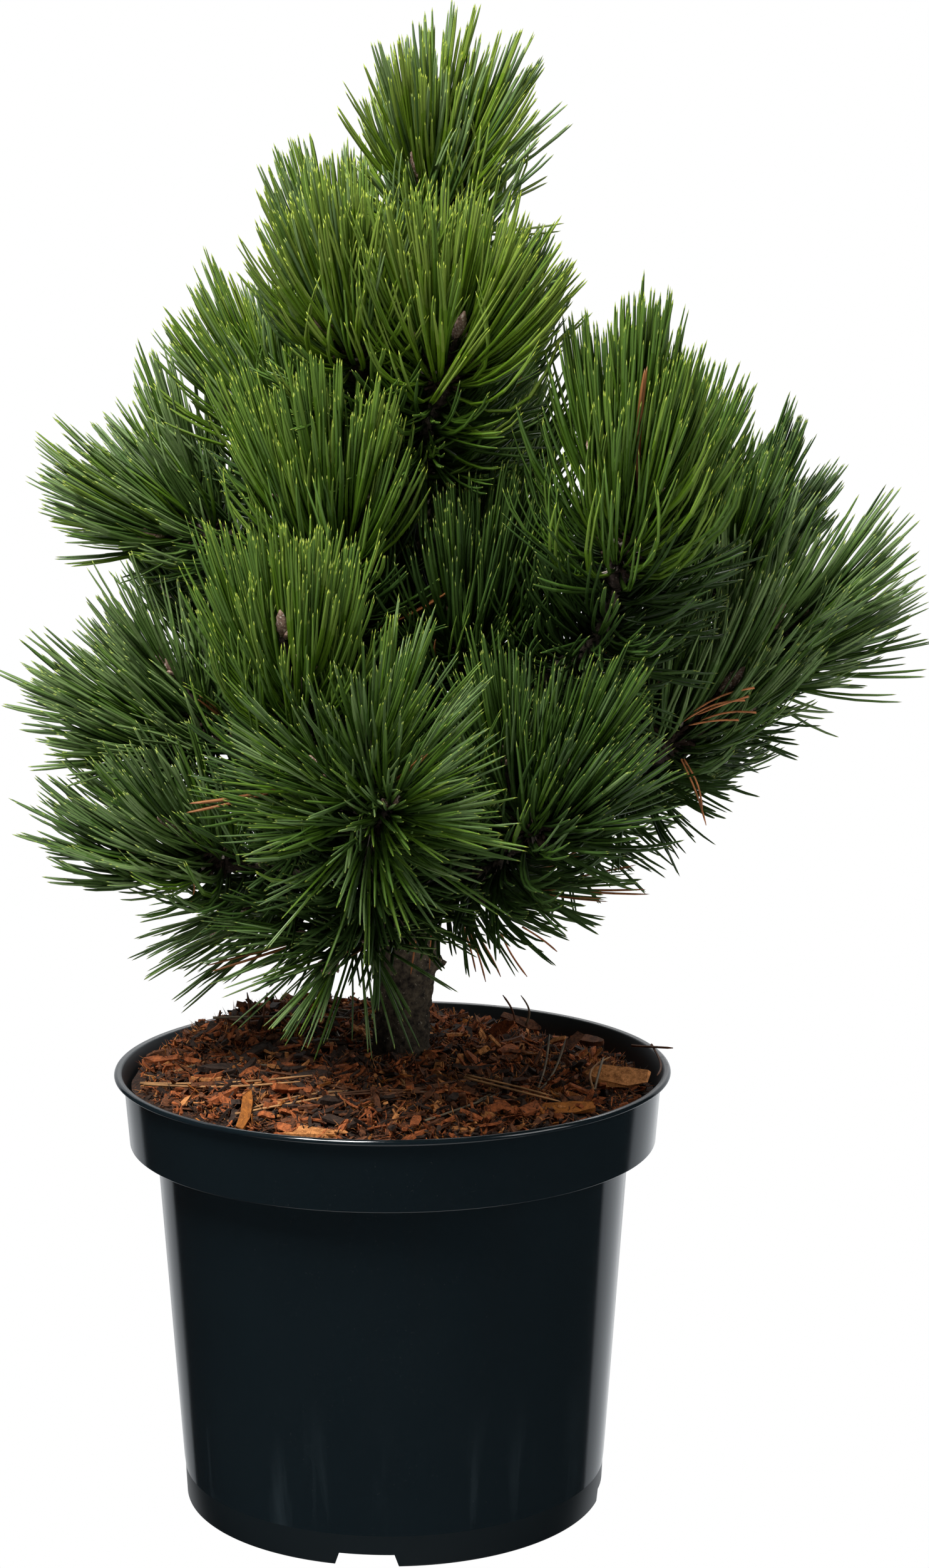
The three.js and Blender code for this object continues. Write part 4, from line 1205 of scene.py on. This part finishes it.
# Each green's foot and low parts are darker copies of its blade: painted shade
def greenMaterials(name, tints):
    paintedShade = {part: tuple(shade * c for c in tints["blade"]) for part, shade in paintedNeedleShades.items()}
    return [
        newMaterial(f"{name}_{part}", colour, needles["roughness"], needles["specular"])[0]
        for part, colour in {**paintedShade, **tints}.items()
    ]


# Distances from points to lines, as points x lines
def lineDistances(points, starts, ends):
    along = ends - starts
    size = np.maximum((along**2).sum(1), 1e-9)
    away = points[:, None] - starts[None]
    share = np.clip((away * along[None]).sum(2) / size[None], 0, 1)
    return np.linalg.norm(away - along[None] * share[..., None], axis=2)


# Lines as arrays of starts and ends, and of one value that each line carries
def lineArrays(rows):
    starts, ends = (rowsOf(row[k] for row in rows) for k in (0, 1))
    return starts, ends, np.array([row[2] for row in rows])


# The stems and shoots, each with the number of its tuft
def twigLines():
    rows = []
    for i, plan in enumerate(plans):
        rows.append((plan["base"], plan["fork"], i))
        rows += [(shoot["start"], shoot["end"], i) for shoot in plan["shoots"]]
    return lineArrays(rows)


# Short lines along the trunk and the boughs, each with its radius
def limbLines():
    rows = []
    for (low, lowRadius), (high, highRadius) in zip(trunk["rings"], trunk["rings"][1:]):
        rows.append((trunkCentre(low), trunkCentre(high), max(lowRadius, highRadius)))
    parts = needles["limbParts"]
    for limb in limbs.values():
        for k in range(parts if limb["curve"] else 0):
            start, end = (curvePoint(limb["curve"], share) for share in (k / parts, (k + 1) / parts))
            rows.append((start, end, limbRadius(limb, k / parts)))
    return lineArrays(rows)


# A needle leaves along out and turns towards the shoot's heading, early or late along its length
def needlePoint(grown, share):
    turned = grown["bend"] * share ** (grown["late"] + 1) / (grown["late"] + 1)
    forward = (grown["length"] * (share - turned))[:, None]
    return grown["root"] + grown["out"] * forward + grown["towards"] * (grown["length"] * turned)[:, None]


def tiltedMany(axis, angles, turns):
    across, over = (np.array(side) for side in acrossAxis(axis))
    side = across * np.cos(turns)[:, None] + over * np.sin(turns)[:, None]
    return np.array(axis) * np.cos(angles)[:, None] + side * np.sin(angles)[:, None]


# All the needles of one shoot, as arrays
def growNeedles(shoot, rule, green, rng):
    count = int(shoot["length"] * rule["perMillimetre"] * rule["full"])
    share = rule["first"] + (1 - rule["first"]) * (np.arange(count) + rng.uniform(0, 1, count)) / count
    angles = between(rule["angles"], share ** rule["angleCurve"])
    angles = np.maximum(rule["leastAngle"], angles + rng.normal(0, rule["angleJitter"], count))
    turns = np.radians(np.arange(count) * goldenTurn + rng.normal(0, rule["turnJitter"], count))
    out = tiltedMany(shoot["axis"], np.radians(angles), turns)
    root = np.array(shoot["start"]) + np.array(shoot["axis"]) * (share * shoot["length"])[:, None]
    towards = np.array((shoot["axis"] + up * rule["lift"] + Vector(rule["lean"])).normalized())
    hooked = rng.uniform(0, 1, count) * rule["hookedShare"] > share
    bend = np.where(hooked, rng.uniform(*rule["hookBend"], count), rng.uniform(*rule["bend"], count))
    late = np.where(hooked, rng.uniform(*rule["hookLate"], count), rng.uniform(*rule["bendLate"], count))
    grown = {
        "root": root, "out": out, "towards": np.tile(towards, (count, 1)), "bend": bend, "late": late,
        "length": 1 - rule["shorter"] * share, "sheathed": share < sheaths["until"],
    }
    return pairUp(grown, green, rule, rng)


# The two needles of each pair, set back to back and a little apart
def pairUp(grown, green, rule, rng):
    count = len(grown["root"])
    greyShare, greyTone = rule["grey"]
    shade = np.clip(np.round(green + rng.normal(0, rule["greenJitter"], count)), 0, greyFrom - 1)
    grey = greyFrom + np.round(greyTone + rng.normal(0, rule["greyJitter"], count))
    grey = np.clip(grey, greyFrom, len(greens) - 1)
    shade = np.where(rng.uniform(0, 1, count) < greyShare, grey, shade).astype(int)
    died = rng.uniform(0, 1, count) < rule["dead"]
    grown["green"] = np.where(died, len(greens), shade)
    grown["length"] = grown["length"] * rule["length"] * rule["long"] * rng.uniform(*rule["lengths"], count)
    grown["roll"] = rng.uniform(0, math.tau, count)
    grown["wide"] = rng.uniform(*rule["width"], count)
    twin = {key: value.copy() for key, value in grown.items()}
    spread = unit(rng.normal(0, 1, (count, 3))) * math.tan(math.radians(rule["pairAngle"]))
    twin["out"] = unit(grown["out"] - spread)
    grown["out"] = unit(grown["out"] + spread)
    twin["roll"] += math.pi
    twin["sheathed"][:] = False
    twin["length"] *= rng.uniform(*rule["twinLengths"], count)
    twin["bend"] += rng.normal(0, rule["twinBend"], count)
    return {key: np.concatenate([grown[key], twin[key]]) for key in grown}


# Older needles along a line of points, whose directions point outwards along it
def growOldNeedles(centres, axes, radii, green, rng):
    rule = {**needles, **oldNeedles}
    count = len(centres)
    turns = np.radians(np.arange(count) * goldenTurn + rng.normal(0, rule["turnJitter"], count))
    angles = np.radians(rng.uniform(*sorted(rule["angles"]), count))
    out = np.array([tiltedMany(axis, angles[k:k + 1], turns[k:k + 1])[0] for k, axis in enumerate(axes)])
    root = rowsOf(centres) + out * np.array(radii)[:, None] * rule["rootShare"]
    towards = unit(rowsOf(axes) + upwards * rule["lift"])
    grown = {
        "root": root, "out": out, "towards": towards, "bend": rng.uniform(*rule["bend"], count),
        "late": rng.uniform(*rule["oldLate"], count), "length": np.ones(count),
        "sheathed": np.zeros(count, bool),
    }
    return pairUp(grown, green, rule, rng)


def oldNeedlesOnBough(limb, green, rng):
    span = (limb["tip"] - limb["curve"][0]).length
    count = int(span * (1 - oldNeedles["from"]) * oldNeedles["perMillimetre"])
    shares = between((oldNeedles["from"], 1), np.sort(rng.uniform(0, 1, count)))
    return growOldNeedles(*alongBough(limb, shares), green, rng)


def oldNeedlesOnTrunk(rng):
    low, high = oldNeedles["trunkFrom"], trunk["top"]
    heights = np.sort(rng.uniform(low, high, int((high - low) * oldNeedles["trunkPerMillimetre"])))
    centres = [trunkCentre(height) for height in heights]
    radii = np.interp(heights, *np.array(trunk["rings"]).T)
    return growOldNeedles(centres, [up] * len(heights), radii, oldNeedles["trunkGreen"], rng)


viewer = Vector(cameraView["place"]) / mm


def sightLines():
    lines = []
    for tuft, plan in zip(tufts, plans):
        if tuft["name"] in sights["tufts"]:
            shoot = plan["shoots"][0]
            for along in sights["along"]:
                spot = shoot["end"] + shoot["axis"] * along
                lines.append((spot, spot + (viewer - spot).normalized() * sights["reach"]))
    return tuple(rowsOf(line[k] for line in lines) for k in (0, 1))


# Lines from the viewer through the middle of each gap, from before the plant to behind it
def gapLines():
    heads = [(Vector((x, 0, z)) - viewer).normalized() for x, z, radius, kept in gaps["rows"]]
    return tuple(rowsOf(viewer + head * gaps[end] for head in heads) for end in ("from", "to"))


sightEnds = sightLines()
gapEnds = gapLines()


# Leaves out needles that would cross a limb, the bed, the rim or a sight line, most of those that would
# cross a gap, and those that would reach far into another tuft
def keepFitting(grown, own, lines, obstacles):
    starts, ends, owners = lines
    limbStarts, limbEnds, limbRadii = obstacles
    fits = np.ones(len(grown["root"]), bool)
    for share in needles["tests"]:
        points = needlePoint(grown, share)
        if own is not None:
            distances = lineDistances(points, starts, ends)
            mine = distances[:, owners == own].min(1)
            other = distances[:, owners != own].min(1)
            fits &= other - mine > -needles["overlap"]
        room = (lineDistances(points, limbStarts, limbEnds) - limbRadii[None]).min(1)
        fits &= room > needles["limbRoom"]
        radius = np.hypot(points[:, 0], points[:, 1])
        floor = bedHeight(points[:, 0], points[:, 1]) + needles["bedRoom"]
        floor = np.where(radius > needles["rimInside"], needles["rimTop"], floor)
        fits &= (points[:, 2] > floor) | (radius > needles["rimRadius"])
    gapRadii, gapShares = (np.array([row[k] for row in gaps["rows"]]) for k in (2, 3))
    for share in sights["tests"]:
        points = needlePoint(grown, share)
        fits &= lineDistances(points, *sightEnds).min(1) > sights["room"]
        crossing = lineDistances(points, *gapEnds) < gapRadii
        fits &= (~crossing | (grown["roll"][:, None] % 1 < gapShares)).all(1)
    return {key: value[fits] for key, value in grown.items()}


def needleVertices(grown, rng):
    stations = np.array(needles["stations"])
    widths = np.array(needles["stationWidths"])
    count = len(grown["root"])
    side = unit(np.cross(grown["out"], grown["towards"]) + 1e-6)
    bow = rng.normal(0, needles["bow"], count) * grown["length"]
    rings = []
    for share, size in zip(stations, widths):
        middle = needlePoint(grown, share) + side * (bow * share * share)[:, None]
        turned = (grown["bend"] * share ** grown["late"])[:, None]
        heading = unit(grown["out"] * (1 - turned) + grown["towards"] * turned)
        over = np.cross(heading, side)
        for corner, reach in needles["corners"]:
            turn = grown["roll"] + math.radians(corner)
            out = side * np.cos(turn)[:, None] + over * np.sin(turn)[:, None]
            rings.append(middle + out * (grown["wide"] * size * reach)[:, None])
    rings.append(needlePoint(grown, 1.0) + side * bow[:, None])
    return np.stack(rings, axis=1)


# Sheaths: short papery sleeves round the feet of the pairs on the lower part of each shoot, some of them
# pale
sheaths = {
    "seed": 47, "length": (5, 9), "radius": (1.0, 1.5), "until": 0.45, "pale": 0.16,
    "stations": ((-0.25, 0.7), (0.45, 1.0), (1.0, 0.75)), "roughness": 0.85, "specular": 0.2,
    "brown": (0.030, 0.017, 0.011), "paleTone": (0.30, 0.25, 0.22),
}


def makeSheaths(every):
    rng = np.random.default_rng(sheaths["seed"])
    chosen = {key: value[every["sheathed"]] for key, value in every.items()}
    count = len(chosen["root"])
    length = rng.uniform(*sheaths["length"], count)[:, None]
    radius = rng.uniform(*sheaths["radius"], count)[:, None]
    across = unit(np.cross(chosen["out"], np.array([0.31, 0.17, 0.94])))
    over = np.cross(chosen["out"], across)
    rings = []
    for share, size in sheaths["stations"]:
        middle = chosen["root"] + chosen["out"] * length * share
        rings += ringCorners(middle, across, over, radius * size, 4)
    points = np.stack(rings, axis=1)
    pale = rng.uniform(0, 1, count) < sheaths["pale"]
    for name, tone, picked in (("sheaths", "brown", ~pale), ("sheaths_pale", "paleTone", pale)):
        mesh = meshFromArrays(name, points[picked], ringTriangles(len(sheaths["stations"]), 4, False))
        material = newMaterial(name, sheaths[tone], sheaths["roughness"], sheaths["specular"])[0]
        addPiece(mesh, name, [material])
    print("sheaths", count)


# Needles of one green as one mesh, with painted shade at the foot, painted sheen above, and paler at the tip
def needlePiece(name, chosen, tints, rng):
    triangles = ringTriangles(len(needles["stations"]), 3, True)
    # Slots 0 and 1 are the foot and low part in painted shade, 3 the upper blade in painted sheen
    faceSlots = np.concatenate([np.repeat([0, 1, 2, 2, 3, 3], 6), [0], [4, 4, 4]])
    points = needleVertices(chosen, rng)
    mesh = meshFromArrays(name, points, triangles, faceSlots)
    print(name, len(points), "needles,", len(points) * len(triangles), "triangles")
    addPiece(mesh, name, greenMaterials(name, tints))


# A green with many needles is dealt out to several pieces of the same size
def makeNeedles():
    rng = np.random.default_rng(needles["seed"])
    lines, obstacles = twigLines(), limbLines()
    grown = [keepFitting(oldNeedlesOnTrunk(rng), None, lines, obstacles)]
    for i, (tuft, plan) in enumerate(zip(tufts, plans)):
        for shoot in plan["shoots"]:
            green = tuft["green"] + rng.normal(0, needles["shootGreen"])
            sown = growNeedles(shoot, {**needles, **tuftHabits.get(tuft["name"], {})}, green, rng)
            grown.append(keepFitting(sown, i, lines, obstacles))
        limb = limbs[tuft["name"]]
        if limb["curve"] and limb["tip"].z > oldNeedles["lowest"]:
            sown = oldNeedlesOnBough(limb, tuft["green"] + oldNeedles["green"], rng)
            grown.append(keepFitting(sown, None, lines, obstacles))
    every = {key: np.concatenate([part[key] for part in grown]) for key in grown[0]}
    names = [f"needles_{i}" for i in range(len(greens))] + ["needles_dead"]
    for i, (name, tints) in enumerate(zip(names, greens + [dead])):
        rows = np.flatnonzero(every["green"] == i)
        for k, part in enumerate(np.array_split(rows, -(-len(rows) // needles["mostInPiece"]))):
            partName = name if k == 0 else f"{name}_{k + 1}"
            needlePiece(partName, {key: value[part] for key, value in every.items()}, tints, rng)
    makeSheaths(every)


makeNeedles()

# Each tuft's solid is stood for by the shoots that grow in its place
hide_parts(*[f"tuft_{tuft['name']}" for tuft in tufts])


# Studio: a pale floor that only throws light back, a white surround, one broad lamp above at the front left
# and softer ones at the right and behind

studio = {
    "floor": 4.0, "floorColour": (0.62, 0.62, 0.62), "surround": 1.0, "ambient": 0.13,
    "reflections": [
        # turn from straight behind the plant, and what the gloss shows there
        (-180, (0.026, 0.034, 0.039)), (-100, (0.020, 0.024, 0.026)), (-62, (0.010, 0.007, 0.006)),
        (-38, (0.010, 0.008, 0.007)), (-37, (0.30, 0.32, 0.34)), (-12, (0.66, 0.68, 0.70)),
        (6, (0.92, 0.94, 0.96)), (26, (0.60, 0.63, 0.66)), (46, (0.36, 0.39, 0.42)),
        (47, (0.016, 0.020, 0.022)), (100, (0.026, 0.034, 0.039)),
    ],
    "floorShine": {"from": -0.84, "to": -0.95, "colour": (0.9, 0.92, 0.94)},
    "lamps": [
        # name, place, size, watts
        ("key", (-0.75, -1.2, 2.5), 1.1, 134),
        ("side", (1.7, -0.9, 1.2), 1.0, 12),
        ("back", (0.1, 1.5, 1.9), 1.2, 22),
    ],
    "aim": (0.02, 0, 0.42),
}


def makeFloor():
    bm = bmesh.new()
    bmesh.ops.create_circle(bm, cap_ends=True, segments=96, radius=studio["floor"])
    mesh = bpy.data.meshes.new("floor")
    bm.to_mesh(mesh)
    bm.free()
    floor = addObject("floor", mesh)
    floor.visible_glossy = False
    floor.visible_camera = False
    mesh.materials.append(newMaterial("paleFloor", studio["floorColour"], 1.0, 0.0)[0])


# The surround is white to the eye. In reflections it is dark, with one pale panel behind the plant and a
# pale floor
def makeSurround():
    world = bpy.data.worlds.new("studio")
    bpy.context.scene.world = world
    world.use_nodes = True
    tree = world.node_tree
    tree.nodes.clear()
    out = addNode(tree, "ShaderNodeOutputWorld")
    place = addNode(tree, "ShaderNodeTexCoord")
    parts = addNode(tree, "ShaderNodeSeparateXYZ")
    turn = addNode(tree, "ShaderNodeMath", operation="ARCTAN2")
    around = addRange(tree, -math.pi, math.pi)
    shown = addNode(tree, "ShaderNodeValToRGB")
    stops = shown.color_ramp.elements
    for i, (start, colour) in enumerate(studio["reflections"]):
        stop = stops[i] if i < 2 else stops.new(0.5 + start / 360)
        stop.position = 0.5 + start / 360
        stop.color = (*colour, 1)
    ray = addNode(tree, "ShaderNodeLightPath")
    shine = studio["floorShine"]
    beneath = addRange(tree, shine["from"], shine["to"])
    mirrored = addBlend(tree, None, shine["colour"])
    soft = addNode(tree, "ShaderNodeBackground", Color=(1, 1, 1, 1), Strength=studio["ambient"])
    reflected = addNode(tree, "ShaderNodeBackground", Strength=1.0)
    seen = addNode(tree, "ShaderNodeBackground", Color=(1, 1, 1, 1), Strength=studio["surround"])
    inGloss = addNode(tree, "ShaderNodeMixShader")
    inView = addNode(tree, "ShaderNodeMixShader")
    joinNodes(
        tree,
        (place.outputs["Generated"], parts.inputs[0]), (parts.outputs["X"], turn.inputs[0]),
        (parts.outputs["Y"], turn.inputs[1]), (turn.outputs[0], around.inputs["Value"]),
        (around.outputs["Result"], shown.inputs["Fac"]), (parts.outputs["Z"], beneath.inputs["Value"]),
        (beneath.outputs["Result"], mirrored.inputs["Factor"]),
        (shown.outputs["Color"], mirrored.inputs["A"]),
        (mirrored.outputs["Result"], reflected.inputs["Color"]),
        (ray.outputs["Is Glossy Ray"], inGloss.inputs[0]), (soft.outputs[0], inGloss.inputs[1]),
        (reflected.outputs[0], inGloss.inputs[2]), (ray.outputs["Is Camera Ray"], inView.inputs[0]),
        (inGloss.outputs[0], inView.inputs[1]), (seen.outputs[0], inView.inputs[2]),
        (inView.outputs[0], out.inputs["Surface"]),
    )


def makeLamps():
    for name, place, size, watts in studio["lamps"]:
        data = bpy.data.lights.new(name, "AREA")
        data.shape = "SQUARE"
        data.size = size
        data.energy = watts
        lamp = addObject(name, data)
        lamp.location = place
        lamp.rotation_euler = (Vector(studio["aim"]) - Vector(place)).to_track_quat("-Z", "Y").to_euler()


makeFloor()
makeSurround()
makeLamps()
bpy.context.scene.view_settings.view_transform = "Standard"
print("studio set")
